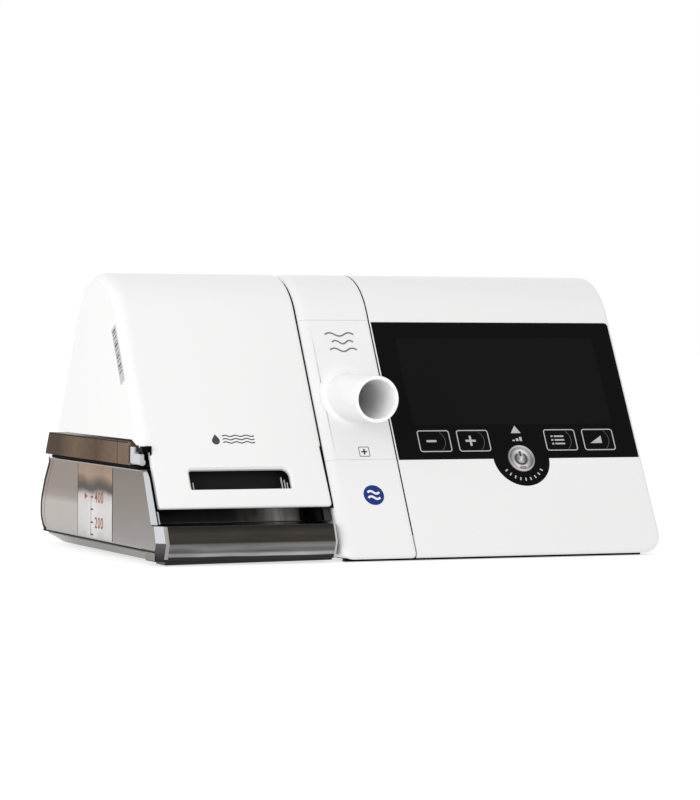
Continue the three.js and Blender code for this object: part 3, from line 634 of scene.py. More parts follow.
def outlet_solid(name):
    right = outlet_high.x - 0.4
    end = ((1.0, 0), (0.85, 0.18), (0, 0.2))
    made = loft(name, left_rings(outlet_low.x, right, LEFT_EDGE, SHELL_Z - LIP, FOOT_R, end))
    return hollow(made, outlet_low.x + WALL, outlet_high.x + 5)


def band_slab(margin):
    x0, x1 = outlet_low.x - 2, outlet_high.x + 2
    outline = rect(x0, BAND["v0"] + margin, x1, BAND["v1"] - margin)
    return prism("slab", outline, -BAND["depth"] + margin, 2, on_front)


def make_outlet_housing():
    body = outlet_solid("outlet_housing")
    cut(body, band_slab(0))
    for y in AIR["ys"]:
        port = circle(y, PORT["z"], 10.4, 32)
        pierce(body, port, outlet_low.x - 1, outlet_low.x + 4)
    for y0, z0, y1, z1 in ((-10, 20, 10, 30), (-46, 13, -33, 23), (33, 13, 46, 23)):
        hole = rect(y0, z0, y1, z1)
        pierce(body, hole, outlet_low.x - 1, outlet_low.x + 4)
    return piece(body, "housing", WHITE, "outlet_shell", edge=0.25)


def round_base(thing):
    """The fillet where the hose cone leaves the slanted band."""
    bm = bmesh.new()
    bm.from_mesh(thing.data)
    ring = []
    for edge in bm.edges:
        good = True
        for vert in edge.verts:
            x, y, z = vert.co / MM
            radius = math.hypot(x - PORT["x"], z - PORT["z"])
            plane = abs((y - FRONT_Y0) * COS_A - z * SIN_A)
            good = good and abs(radius - PORT["r"]) < 0.6 and plane < 0.05
        if good and len(edge.link_faces) == 2:
            ring.append(edge)
    bmesh.ops.bevel(bm, geom=ring, offset=PORT["fillet"] * MM, segments=6, profile=0.5,
                    affect="EDGES", clamp_overlap=False)
    bm.to_mesh(thing.data)
    bm.free()


def make_port_band():
    body = outlet_solid("port_band")
    combine(body, band_slab(0.12), "INTERSECT")
    tube = loft("tube", [
        [(x, y, z) for x, z in circle(PORT["x"], PORT["z"], r, 64)]
        for y, r in ((PORT["y"], PORT["r"]), (PORT["back"], PORT["r"] + 0.35))
    ])
    joined(body, tube)
    round_base(body)
    bore = circle(PORT["x"], PORT["z"], PORT["bore"], 64)
    pierce(body, bore, PORT["y"] - 5, PORT["back"] + 5, along_y)
    piece(body, "housing", LIT_PORT_WHITE, "port_cover", edge=0.3)
    # A thin sleeve in the bore that carries the painted light.
    inner = hoop("lit_bore_sleeve", circle(PORT["x"], PORT["z"], PORT["bore"] + 0.1, 64),
                 circle(PORT["x"], PORT["z"], PORT["bore"] - 0.12, 64),
                 PORT["y"] + 0.5, PORT["back"], along_y)
    piece(inner, "housing", LIT_BORE_WHITE)


def make_seams():
    """Painted shade: dark strips set in the seams at both sides of the outlet section, where the
    gaps lie in shade.
    """
    x0, x1 = outlet_high.x - 0.5, shell_low.x + 0.1
    strip = hoop("seam_shade_strip", section(0.35, 12), section(2.4, 12), x0, x1)
    piece(strip, "housing", PITCH)
    x0, x1 = cover_high.x + 0.05, outlet_low.x + 0.55
    strip = hoop("dock_shade_strip", section(1.7, 25), section(6, 25), x0, x1)
    piece(strip, "housing", PITCH)
    # Painted shadow: a black strip under the housing's front edge for the shadow line along its
    # foot.
    shadow = rect(-86.8, 0.35, -83.5, SHELL_Z - LIP + 0.3, 0.2, 2)
    shadow_strip = prism("base_shadow_strip", shadow, outlet_low.x + 1.5, shell_high.x - 12)
    piece(shadow_strip, "housing", PITCH)
    low, high = box_mm("base_pan")
    right = shell_high.x - 8.5
    plate = [(low.x, SHELL_Z - LIP + 0.2), (right, SHELL_Z - LIP + 0.2), (right + 4, high.z),
             (low.x, high.z)]
    base = prism("base_plate", plate, low.y + 0.3, high.y - 0.3, along_y)
    for i in range(9):
        slot = rect(20 + 8 * i, -20, 23 + 8 * i, 20, 1.4, 5)
        pierce(base, slot, -2, SHELL_Z + 0.6, along_z)
    piece(base, "housing", DARK, "base_pan", edge=0.3)


make_display_housing()
make_outlet_housing()
make_port_band()
make_seams()

# ---- control panel ----

KEY = {"w": 17.2, "h": 11.8, "v": 63.0, "r": 1.6, "thick": 1.2, "stem": 3.6}
KEYS = (("minus", -44.1), ("plus", -23.4), ("menu", 23.4), ("ramp", 44.1))
POWER = {"v": 53.2, "r": 7.2}
PRINT = 0.06  # thickness of a printed mark


def key_outline(x, margin, steps=5):
    w, h = KEY["w"] / 2 + margin, KEY["h"] / 2 + margin
    return rect(x - w, KEY["v"] - h, x + w, KEY["v"] + h, max(0.3, KEY["r"] + margin), steps)


def printed(name, outline, body, looks, level=0.0, thick=PRINT):
    return piece(prism(name, outline, level, level + thick, on_front), body, looks)


def make_glass():
    body = prism("control_glass", panel_outline(0), -PANEL["thick"], 0, on_front)
    for name, dx in KEYS:
        pierce(body, key_outline(CONTROL_X + dx, 0.2), -3, 2, on_front)
    pierce(body, circle(CONTROL_X, POWER["v"], POWER["r"] + 0.3, 64), -3, 2, on_front)
    piece(body, "housing", GLASS, "display_glass", edge=0.15)
    screen = prism("screen", rect(*VISIBLE, 0.8), -0.02, 0.03, on_front)
    piece(screen, "housing", SCREEN)


def plus_outline(a, b, arm, half):
    corner = [(-arm, -half), (-half, -half), (-half, -arm)]
    turned_on = [(math.cos(t), math.sin(t)) for t in (0, math.pi / 2, math.pi, 1.5 * math.pi)]
    return [(a + p * c - q * s, b + p * s + q * c) for c, s in turned_on for p, q in corner]


def make_key(name, dx):
    x, v = CONTROL_X + dx, KEY["v"]
    ride = name + "_key"
    cap = prism(name + "_cap", key_outline(x, 0), -KEY["thick"], 0, on_front)
    stem = prism("stem", circle(x, v, 2.4, 24), -KEY["stem"], -KEY["thick"] + 0.2, on_front)
    joined(cap, stem)
    piece(cap, ride, GLASS, "key_" + name, edge=0.12)
    line = hoop(name + "_outline", key_outline(x, -0.1), key_outline(x, -0.62), 0, PRINT, on_front)
    piece(line, ride, GREY_PRINT)
    crescent = arc(x - 0.4, v, 6.2, -52, 52, 20) + arc(x - 0.4, v, 5.9, 52, -52, 20)
    printed(name + "_arc", crescent, ride, SOFT_LINE)
    a = x - 1.6
    marks = {
        "minus": [rect(a - 2.6, v - 0.55, a + 2.6, v + 0.55)],
        "plus": [plus_outline(a, v, 2.7, 0.55)],
        "menu": [rect(a - left, v + up - 0.4, a - left + wide, v + up + 0.4)
                 for up in (-2, 0, 2) for left, wide in ((3.4, 1.1), (1.6, 5.2))],
        "ramp": [[(a - 3.2, v - 1.9), (a + 3.2, v - 1.9), (a + 3.2, v + 2.1)]],
    }
    for i, mark in enumerate(marks[name]):
        printed(f"{name}_mark_{i + 1}", mark, ride, GREY_PRINT)


def turned(name, profile, centre, out, sides=96):
    """A turned piece: profile is (radius, height) from the axis at the bottom back to the axis."""
    axis = Vector(out).normalized()
    side = axis.orthogonal().normalized()
    turn = Matrix((side, axis.cross(side), axis)).transposed().to_4x4()

    def build(bm):
        bottom, top = (bm.verts.new((0, 0, h * MM)) for _, h in (profile[0], profile[-1]))
        rows = [[bm.verts.new(Vector((x, y, h)) * MM) for x, y in circle(0, 0, r, sides)]
                for r, h in profile[1:-1]]
        for i in range(sides):
            j = (i + 1) % sides
            bm.faces.new((bottom, rows[0][j], rows[0][i]))
            bm.faces.new((top, rows[-1][i], rows[-1][j]))
            for low, high in zip(rows, rows[1:]):
                bm.faces.new((low[i], low[j], high[j], high[i]))
    made = mesh_object(name, build)
    made.matrix_world = Matrix.Translation(Vector(centre) * MM) @ turn
    return made


HIGHLIGHT_TURN = 0.6  # turns the painted highlight on the button, in radians
BUTTON_RINGS = ((0.12, 0.42), (0.3, 0.25), (0.45, 0.33), (0.6, 0.55), (0.72, 0.3), (0.8, 0.22),
                (0.86, 0.42), (0.94, 0.36))


def spun_finish():
    """Spun metal: rings of set greys, with a painted highlight that runs round the middle."""
    made = finish("spun_silver", (0.5, 0.5, 0.51), 0.3, bump=0.0, Metallic=0.85)
    tree = made.node_tree
    where = add_node(tree, "TexCoord").outputs["Object"]
    x, y, _ = add_node(tree, "SeparateXYZ", Vector=where).outputs
    flat = add_node(tree, "CombineXYZ", X=x, Y=y).outputs["Vector"]
    reach = add_node(tree, "VectorMath", "LENGTH", _0=flat).outputs["Value"]
    spread = add_node(tree, "MapRange", Value=reach, From_Max=POWER["r"] * MM)
    turn = add_node(tree, "Math", "ARCTAN2", _0=y, _1=x).outputs["Value"]
    double = add_node(tree, "Math", "MULTIPLY_ADD", _0=turn, _1=2, _2=HIGHLIGHT_TURN)
    painted_highlight = add_node(tree, "Math", "SINE", _0=double.outputs["Value"]).outputs["Value"]
    gain = add_node(tree, "MapRange", Value=painted_highlight, From_Min=-1, To_Min=0.65, To_Max=1.45)
    greys = [(at, (grey, grey, grey * 1.01)) for at, grey in BUTTON_RINGS]
    stops = [(0, (0.75, 0.75, 0.76)), *greys, (1, (0.33, 0.33, 0.34))]
    tint_by(tree, spread.outputs["Result"], stops, gain.outputs["Result"])
    return made


def make_power_button():
    centre = on_front(CONTROL_X, POWER["v"], 0)
    out = (0, -COS_A, SIN_A)
    r = POWER["r"]
    profile = [(0, -3.6), (2.6, -3.6), (2.6, -2.2), (r, -2.2), (r, -0.1), (r - 0.25, 0.35),
               (r - 0.8, 0.5), (r - 1.2, 0.45), (r - 1.5, 0.05), (r - 1.9, -0.1), (4.4, -0.3),
               (3.2, -0.28), (2.2, -0.18), (1.1, -0.08), (0, -0.04)]
    button = turned("power_cap", profile, centre, out)
    piece(button, "power_key", spun_finish(), "power_button", smooth=30)
    x, v = CONTROL_X, POWER["v"]
    ring = arc(x, v, 3.3, 124, 416, 40) + arc(x, v, 2.45, 416, 124, 40)
    printed("power_ring", ring, "power_key", DARK_PRINT, level=-0.26, thick=0.14)
    bar = rect(x - 0.5, v + 1.2, x + 0.5, v + 4.0)
    printed("power_bar", bar, "power_key", DARK_PRINT, level=-0.3, thick=0.22)
    for i in range(9):
        turn = math.radians(214 + 14 * i)
        spot = [(x + r * math.cos(turn), v + r * math.sin(turn)) for r in (10.4, 12.0)]
        printed(f"arc_tick_{i + 1}", stroke(spot, 0.7), "housing", GREY_PRINT)
    lamp = hoop("power_lamp", rect(x - 1.5, v - 5.2, x + 1.5, v - 4.2, 0.1, 2),
                rect(x - 1.3, v - 5.0, x + 1.3, v - 4.4, 0.1, 2), -0.3, 0.02, on_front)
    piece(lamp, "power_key", RED_PRINT)


make_glass()
for key_name, key_dx in KEYS:
    make_key(key_name, key_dx)
make_power_button()
triangle = [(CONTROL_X - 2.65, 66.9), (CONTROL_X + 2.65, 66.9), (CONTROL_X, 71.0)]
printed("alarm_triangle", triangle, "housing", GREY_PRINT)
for i in range(3):
    left = CONTROL_X - 2.6 + i * 1.9
    bar = rect(left, 62.6, left + 1.3, 63.3 + 0.75 * i)
    printed(f"level_bar_{i + 1}", bar, "housing", GREY_PRINT)

# ---- humidifier cover ----

HINGE = {"y": 60.0, "z": 62.0, "r": 3.2, "rod": 1.9}
KNUCKLES = ((-127.5, -118.0), (-54.0, -45.3))
SIDE_Z = 57.0
DIP = {"y0": -56.0, "y1": -49.5, "z": 54.6}  # where the side's lower edge drops to the front
LEG = {"x": -125.8, "r": 2.6}  # left edge of the cover's front below its side
SLOT = {"x0": -108.1, "x1": -57.8, "v0": 39.3, "v1": 49.8, "r": 2.0}


def slot_outline(margin):
    x0, x1 = SLOT["x0"] - margin, SLOT["x1"] + margin
    v0, v1 = SLOT["v0"] - margin * 0.3, SLOT["v1"] + margin
    r = SLOT["r"] + margin
    return rounded([(x0, v0), (x1, v0), (x1, v1), (x0, v1)], [0.8, 0.8, r + 1.8, r], 6)


def front_y(z, margin):
    return FRONT_Y0 + FRONT_TAN * z + margin


def make_cover():
    low, high = cover_low, cover_high
    end = ((2.2, 0), (1.3, 0.06), (0.6, 0.25), (0.2, 0.5), (0, 0.8))
    body = loft("cover", left_rings(low.x, high.x, COVER_EDGE, low.z, 1.0, end))
    hollow(body, low.x + WALL, high.x + 5)
    reach = WALL / COS_A
    below = [(front_y(20, reach), 20), (100, 20), (100, SIDE_Z), (DIP["y1"], SIDE_Z),
             (DIP["y0"], DIP["z"]), (front_y(DIP["z"], reach), DIP["z"])]
    pierce(body, below, low.x - 1, high.x + 1)
    left, turn = LEG["x"], LEG["r"]
    foot, top = low.z / COS_A, DIP["z"] / COS_A
    beside = [(low.x - 2, foot - 3), (left + turn, foot - 3),
              *arc(left + turn, foot + turn, turn, 270, 180, 8), (left, top), (low.x - 2, top)]
    pierce(body, beside, -4.5, 3, on_front)
    step = [(high.x + 1, 61.5), (high.x - 0.9, 61.5), (high.x - 0.1, foot), (high.x + 1, foot)]
    pierce(body, step, -4.5, 3, on_front)
    flare = loft("slot", [[on_front(x, v, n) for x, v in slot_outline(m)]
                          for n, m in ((1, 1.0), (0.02, 0.9), (-0.9, 0), (-9, 0))])
    cut(body, flare)
    cut(body, block("notch", KNUCKLES[0][1], KNUCKLES[1][0], 30, 100, 40, 66.5))
    cut(body, block("notch", KNUCKLES[1][1], high.x + 1, 30, 100, 40, 66.5))
    cut(body, block("trim", low.x - 1, high.x + 1, HINGE["y"], 100, 40, HINGE["z"]))
    for x0, x1 in KNUCKLES:
        extend(body, circle(HINGE["y"], HINGE["z"], HINGE["r"], 32), x0, x1)
        ear = rect(HINGE["y"] - HINGE["r"], HINGE["z"], HINGE["y"] + 1, HINGE["z"] + 5)
        extend(body, ear, x0, x1)
    pierce(body, circle(HINGE["y"], HINGE["z"], HINGE["rod"], 32), -126.8, -40)
    return piece(body, "cover", WHITE, "humidifier_cover", edge=0.35)


make_cover()

# ---- marks on the housings ----


def wave(a, b, length, rise, turns=1.5, steps=24):
    return [(a + length * i / steps, b + rise * math.sin(2 * math.pi * turns * i / steps))
            for i in range(steps + 1)]


def droplet(a, b, size):
    """A water drop with its tip up."""
    r = size * 0.36
    round_part = arc(a, b + r, r, 150, 390, 20)
    return [(a, b + size), *round_part]


def make_marks():
    # a breeze of three lines on the outlet section
    for i, (dx, width) in enumerate(((0, 15), (3, 11), (1.2, 14))):
        outline = stroke(wave(-26 + dx, 121 - 4.2 * i, width, 0.9), 0.8)
        printed(f"breeze_{i + 1}", outline, "housing", MARK_PRINT)
    # a framed cross beside the outlet
    frame_out = rect(-20.5, 55.2, -15.1, 60.4, 0.5, 3)
    frame_in = rect(-20.2, 55.5, -15.4, 60.1, 0.3, 3)
    line = hoop("symbol_frame", frame_out, frame_in, 0, PRINT, on_front)
    piece(line, "housing", DARK_PRINT)
    printed("symbol_mark", rect(-18.2, 56.3, -17.4, 59.3, 0.2, 2), "housing", DARK_PRINT)
    printed("symbol_bar", rect(-19.3, 57.4, -16.3, 58.1, 0.2, 2), "housing", DARK_PRINT)
    # a blue disc with two white waves
    printed("blue_disc", circle(-17.4, 34.9, 5.2, 64), "housing", BLUE_PRINT)
    for i in range(2):
        outline = stroke(wave(-20.4, 36.3 - 2.8 * i, 6, 0.7, 1), 1.1)
        printed(f"disc_wave_{i + 1}", outline, "housing", WHITE, level=PRINT)
    # a drop and three waves on the cover
    printed("cover_drop", droplet(-92.0, 62.4, 5.4), "cover", DARK_PRINT)
    for i in range(3):
        outline = stroke(wave(-88.5, 63.4 + 1.7 * i, 16, 0.35, 3, 48), 0.55)
        printed(f"cover_wave_{i + 1}", outline, "cover", DARK_PRINT)


make_marks()

# ---- humidifier tank ----

tub_low, tub_high = box_mm("tank_tub")
grip_low, grip_high = box_mm("tank_front")
lid_low, lid_high = box_mm("tank_lid")
latch_low, latch_high = box_mm("tank_latch")
TUB_SIDE = [(-64, 6.5), (84.2, 6.5), (89.2, 13), (89.2, 20.7), (83.4, 31.5), (76, 40.5),
            (76, 43.2), (-56, 43.2)]
TUB_ROUND = [0.6, 7, 9, 14, 30, 2, 0.01, 0.01]
TUB_WALL = 2.2
OVER = 0.05  # how far a mark stands off the face it is on
CHEEK_Z = 18.7  # lower edge of the cheeks


def cheek_y(z):
    """Where the tub's left face ends, behind the slanted front."""
    return -66.8 - (38.9 - z) * 0.47


def on_side(y, z, out):
    """y, z and a distance out of the tank's left face."""
    return tub_low.x - out, y, z


def inner_outline(points, depth, open_edge):
    """The outline moved inwards by depth, and outwards by 4 at its open edge."""
    count = len(points)
    lines = []
    for i in range(count):
        a, b = Vector(points[i]), Vector(points[(i + 1) % count])
        side = Vector((-(b - a).y, (b - a).x)).normalized()
        lines.append((side, side.dot(a) + (-4 if i == open_edge else depth)))
    made = []
    for i in range(count):
        (p, c), (q, d) = lines[i - 1], lines[i]
        det = p.x * q.y - p.y * q.x
        made.append(((c * q.y - p.y * d) / det, (p.x * d - q.x * c) / det))
    return made


def side_mark(name, outline, looks, level=0.0, thick=OVER):
    return piece(prism(name, outline, level, level + thick, on_side), "tank", looks)


def make_tub():
    x0, x1 = tub_low.x, tub_high.x
    top = tub_high.z
    body = prism("tub", rounded(TUB_SIDE, TUB_ROUND, 6), x0, x1)
    cavity = inner_outline(TUB_SIDE, TUB_WALL, 6)
    left = [(cheek_y(CHEEK_Z) + 0.3, CHEEK_Z), (-60, CHEEK_Z), (-55, top),
            (cheek_y(top) + 0.3, top)]
    right = [(front_y(CHEEK_Z, 4.2), CHEEK_Z), *left[1:3], (front_y(top, 4.2), top)]
    extend(body, left, x0, x0 + TUB_WALL)
    extend(body, right, x1 - TUB_WALL, x1)
    pierce(body, cavity, x0 + TUB_WALL, x1 - TUB_WALL)
    low, high = box_mm("tank_plate")
    pierce(body, around(low, high, SEAM, 6), 5, 10, along_z)
    piece(body, "tank", SMOKY, "tank_tub", edge=0.5)
    rows = []
    for z in (CHEEK_Z, top - 3.5, top - 1.6, top - 0.6, top):
        back, front = cheek_y(z), front_y(z, 0.3)
        pull = max(0, z - top + 3.5) ** 2 * 0.25
        plan = ((0.02, back + pull * 0.3), (1.6, front + pull), (2.2, front + pull),
                (2.2, back + 3), (0.4, back + 3))
        rows.append([(x0 + dx, y, z) for dx, y in plan])
    piece(loft("cheek_edge", rows), "tank", CLEAR, edge=0.2)
    lip = [(front_y(19, 0.6), 19), (front_y(19, 1.8), 19), (front_y(24.6, 1.8), 24.6),
           (front_y(24.6, 0.6), 24.6)]
    piece(prism("cheek_lip", lip, x0 + 3.1, x0 + 3.5), "tank", CLEAR)
    shield = [(front_y(CHEEK_Z, 3.6), CHEEK_Z), (-59.4, CHEEK_Z), (-54.4, top - 0.1),
              (front_y(top, 3.6), top - 0.1)]
    shield = prism("cheek_shield", shield, x1 - TUB_WALL - 0.3, x1 + 0.1)
    piece(shield, "tank", PITCH, edge=0.2)


WINDOW = {"y0": -22.2, "y1": 29.7, "z0": 7.4, "z1": 42.3}
SCALE = {"y": 9.6, "ticks": (27.1, 21.1, 14.8, 8.9)}


def number(name, words, y, z, size):
    """Raised numerals on the tank's side, reading from the back to the front."""
    text = bpy.data.curves.new(name, "FONT")
    text.body = words
    text.size = size * MM
    text.extrude = 0.02 * MM
    text.space_character = 1.15
    text.offset = 0.05 * MM
    holder = bpy.data.objects.new(name + "_text", text)
    bpy.context.scene.collection.objects.link(holder)
    graph = bpy.context.evaluated_depsgraph_get()
    mesh = bpy.data.meshes.new_from_object(holder.evaluated_get(graph))
    bpy.data.objects.remove(holder)
    bpy.data.curves.remove(text)
    turn = Matrix(((0, 0, -1), (-1, 0, 0), (0, 1, 0))).to_4x4()
    mesh.transform(Matrix.Translation(Vector(on_side(y, z, 2.2 * OVER)) * MM) @ turn)
    made = bpy.data.objects.new(name, mesh)
    bpy.context.scene.collection.objects.link(made)
    dress(made, "tank", RED_PRINT)


def side_line(name, outline, looks=PITCH):
    side_mark(name, outline, looks, thick=1.6 * OVER)


def make_window():
    y0, y1, z0, z1 = WINDOW.values()
    side_mark("level_window", rect(y0, z0, y1, z1), SHADED_PANE)
    panel = [(y0, 7.2), (-82.3, 7.2), (-83.3, 10), (-80.4, 18.2), (cheek_y(CHEEK_Z), CHEEK_Z),
             (cheek_y(41) + 0.1, 41), (cheek_y(42.7) + 1.8, 42.6), (y0, 42.6)]
    side_mark("side_panel", panel, SMOKY_FRONT)
    for name, y, width in (("front", y0, 0.8), ("back", y1, 0.45)):
        side_line("window_line_" + name, rect(y - width / 2, z0, y + width / 2, z1))
    side_line("foot_line", stroke([(84.6, 6.45), (-82.2, 6.45)], 0.75))
    back = [p for p in rounded(TUB_SIDE, TUB_ROUND, 6) if p[0] > 75.5]
    rim = [(y - 1.0, z + (0.5 if z < 12 else 0)) for y, z in back]
    side_line("back_line", stroke(rim, 2.0))
    foot = [(-82.0, 2.3), (-69.9, 2.3), (-69.6, 6.0), (-82.3, 6.0)]
    side_mark("grip_foot_side", foot, TRAY)
    side_line("wall_line", stroke([(y - 6.2, z) for y, z in back if z > 9], 0.5), SMOKY_FRONT)
    side_line("rim_line", stroke([(74, 42.9), (-62, 42.9)], 0.5), RIM)
    y, ticks = SCALE.values()
    side_mark("scale_line", rect(y - 0.25, ticks[-1], y + 0.25, ticks[0]), RED_PRINT, level=OVER)
    for i, z in enumerate(ticks):
        tick = rect(y - 3.2, z - 0.4, y + 0.5, z + 0.4)
        side_mark(f"scale_tick_{i + 1}", tick, DARK_PRINT, level=OVER, thick=1.3 * OVER)
    number("scale_400", "400", y - 5.8, ticks[0] - 2.4, 7.6)
    number("scale_200", "200", y - 5.8, ticks[2] - 2.4, 7.6)
    mark = [(y + 9.6, ticks[0] + 1.6), (y + 5.2, ticks[0]), (y + 9.6, ticks[0] - 1.6)]
    side_mark("scale_mark", mark, RED_PRINT, level=OVER)


GRIP = [(-84.8, 2), (-69.6, 2), (-69.2, 6.5), (-64.4, 6.5), (-61.8, 18.3), (-84.5, 18.3),
        (-87.8, 10)]
GRIP_ROUND = [1.5, 0.4, 0.4, 0.01, 0.01, 0.8, 1.2]
FACET = 4.2  # how far the facet at the grip's left end cuts into both faces
FACET_Z = 10.6  # where the facet turns from clear to dark
SKIN = 1.1
GRIP_FRONT = ((0, -84.0), (2, -84.8), (10, -87.8), (18.3, -84.5), (20, -83.8))  # z and front y


def grip_part(name, plan, looks, *replaces, z0=0, z1=20, slot=None, hollow_part=False):
    """The grip moulding within a plan outline that follows its front, between two heights.

    The plan gives x and a distance behind the grip's front.
    """
    body = prism(name, rounded(GRIP, GRIP_ROUND, 4), grip_low.x, grip_high.x)
    if hollow_part:
        cavity = inner_outline(GRIP, TUB_WALL, 3)
        pierce(body, cavity, grip_low.x + 5.6, grip_high.x - TUB_WALL)
    rings = [[(x, front + dy, z) for x, dy in plan] for z, front in GRIP_FRONT]
    combine(body, loft("plan", rings), "INTERSECT")
    if z0 > 0 or z1 < 20:
        combine(body, block("band", -140, -30, -95, -55, z0, z1), "INTERSECT")
    return piece(body, "tank", looks, *replaces, slot=slot, edge=0.15)


def make_bumper():
    """The grip across the tank's foot with its end facets, and the black front above it."""
    left, right = grip_low.x, grip_high.x
    deep = 30  # well behind the grip
    turn = left + 2 * FACET
    inner = [(left, FACET + SKIN), (turn + SKIN, -FACET), (right - 2.4, -FACET),
             (right - 2.4, deep), (left, deep)]
    grip_part("grip", inner, BUMPER_WITH_HIGHLIGHTS, "tank_front", hollow_part=True)
    bite = 0.14 * FACET  # the strip beside the facet takes this much of it
    rim = left + 0.86 * FACET
    skin = [(left, FACET + SKIN - 0.05), (left, FACET), (rim, bite), (rim, bite + SKIN - 0.05)]
    grip_part("grip_facet", skin, CLEAR, z0=FACET_Z)
    grip_part("grip_heel", skin, SHADED_HEEL, z1=FACET_Z)
    strip = [(rim + 0.05, bite + SKIN - 0.1), (rim + 0.05, bite - 0.05), (turn, -FACET),
             (turn + SKIN - 0.05, -FACET)]
    grip_part("grip_strip", strip, RIM, z0=3.2, slot="clear_plastic")
    rings = [[(x, -84.4, z), (x, -84.4, 2.2), (x, -72, 2.2), (x, -72, z)]
             for x, z in ((left + 4.2, 0.5), (right - 3, 1.3))]
    piece(loft("grip_foot", rings), "tank", BUMPER_WITH_HIGHLIGHTS, edge=0.1)
    end = [(right - 2.35, -FACET), (right - 1.2, 1.2), (right - 0.4, 4.2), (right, 8),
           (right, deep), (right - 2.35, deep)]
    grip_part("grip_end", end, ENDS)
    x0, x1 = tub_low.x + 2.4, tub_high.x - 2.4
    low, high = (-62.9, 18.6), (-57.5, 43.0)
    mid = [low[i] + (high[i] - low[i]) * 0.34 for i in (0, 1)]
    for name, (ya, za), (yb, zb), looks in (("recess_back", low, mid, SHEEN),
                                            ("tub_front", mid, high, SLATE)):
        plate = [(ya, za), (ya + 1.1, za), (yb + 1.1, zb), (yb, zb)]
        piece(prism(name, plate, x0, x1), "tank", looks)
    for i, x in enumerate((-50.4, -48.8, -47.9)):
        rib = [(-68.5 + i, 18.6), (-63.0, 18.6), (-61.0, 27), (-62.6, 27)]
        piece(prism(f"front_rib_{i + 1}", rib, x, x + 0.7), "tank", PITCH, edge=0.1)


GROOVE_Y = -28.6


def make_lid():
    x0, x1 = lid_low.x, lid_high.x
    low, high = lid_low, lid_high
    side = [(low.y, low.z), (high.y, low.z), (75.7, high.z), (-48, high.z)]
    body = prism("lid", rounded(side, [0.3, 0.8, 1.2, 0.8], 4), x0, x1)
    pierce(body, inner_outline(side, 2.0, 0), x0 + 2, x1 - 2)
    seat_x, seat_y = latch_high.x + SEAM, latch_high.y + SEAM
    joined(body, block("wall", seat_x, seat_x + 2, -54, seat_y + 3, 45.2, 55.4))
    joined(body, block("wall", x0 + 0.2, seat_x + 2, seat_y, seat_y + 2, 45.2, 55.4))
    cut(body, block("seat", x0 - 1, seat_x, -70, seat_y, 40, 60))
    for y in AIR["ys"]:
        pierce(body, circle(AIR["x"], y, 6.5, 40), 50, 60, along_z)
    cut(body, block("groove", x0 - 1, x0 + 0.5, GROOVE_Y - 0.45, GROOVE_Y + 0.45, 40, 60))
    piece(body, "tank", BROWN, "tank_lid", edge=0.35)
    teeth = [(-45.0 - 0.9 * (i % 2), 46.0 + 0.75 * i) for i in range(12)]
    ridge = teeth + [(y - 1.1, z) for y, z in reversed(teeth)]
    side_mark("lid_ridge", ridge, PITCH, level=tub_low.x - x0)
    top_line = stroke([(74.5, high.z - 0.5), (-44, high.z - 0.5)], 0.5)
    side_mark("lid_line", top_line, PITCH, level=tub_low.x - x0)
    low, high = box_mm("tank_gasket")
    loop_out = rect(low.x - 0.7, low.y - 0.8, high.x + 0.7, high.y + 0.8, 3, 5)
    loop_in = rect(low.x + 2.6, low.y + 2.6, high.x - 2.6, high.y - 2.6, 1, 5)
    loop = hoop("gasket", loop_out, loop_in, low.z - 0.1, high.z + 0.1, along_z)
    piece(loop, "tank", RUBBER, "tank_gasket", edge=0.3)


def make_latch():
    low, high = latch_low, latch_high
    step_y, step_z = -53.0, 50.6
    plate = [(high.y, low.z + 1.5), (low.y, low.z + 1.5), (low.y, step_z), (step_y, step_z),
             (step_y, high.z), (high.y, high.z)]
    body = prism("latch", rounded(plate, 0.5, 3), low.x, low.x + 2.2)
    roll = circle(low.x + 1.5, low.z + 1.5, 1.5, 24)
    extend(body, roll, low.y, high.y, along_y)
    hook = rect(low.x + 1, high.z - 2.2, high.x, high.z, 0.3, 2)
    extend(body, hook, step_y, high.y, along_y)
    piece(body, "latch", CLEAR, "tank_latch", edge=0.3)
    stop = rect(-62.4, 51.4, -53.6, 54.2, 0.3, 3)
    piece(prism("latch_stop", stop, low.x + 0.6, low.x + 4), "tank", PITCH, edge=0.2)
    back = rect(-63.2, 44.6, -46.9, 54.4)
    piece(prism("latch_back", back, low.x + 4.2, low.x + 5), "tank", PITCH, edge=0.1)


def make_dock():
    """The tray under the tank, smoky like it."""
    low, high = box_mm("dock_tray")
    x0, x1, top, foot = low.x, high.x, high.z, low.z
    across = rounded([(x0, top), (x0 + 5.1, foot), (x1, foot), (x1, top)], [0.5, 1.2, 0.2, 0.2], 4)
    along = [(low.y, foot), (66, foot), (high.y, top), (low.y, top)]
    along = rounded(along, [0.3, 3, 0.6, 0.2], 4)
    body = prism("tray", across, low.y, high.y, along_y)
    combine(body, prism("along", along, x0 - 1, x1 + 1), "INTERSECT")
    plate_low, plate_high = box_mm("heater_plate")
    pierce(body, around(plate_low, plate_high, SEAM, 6), 2.6, 7, along_z)
    piece(body, "housing", TRAY, "dock_tray", edge=0.25)


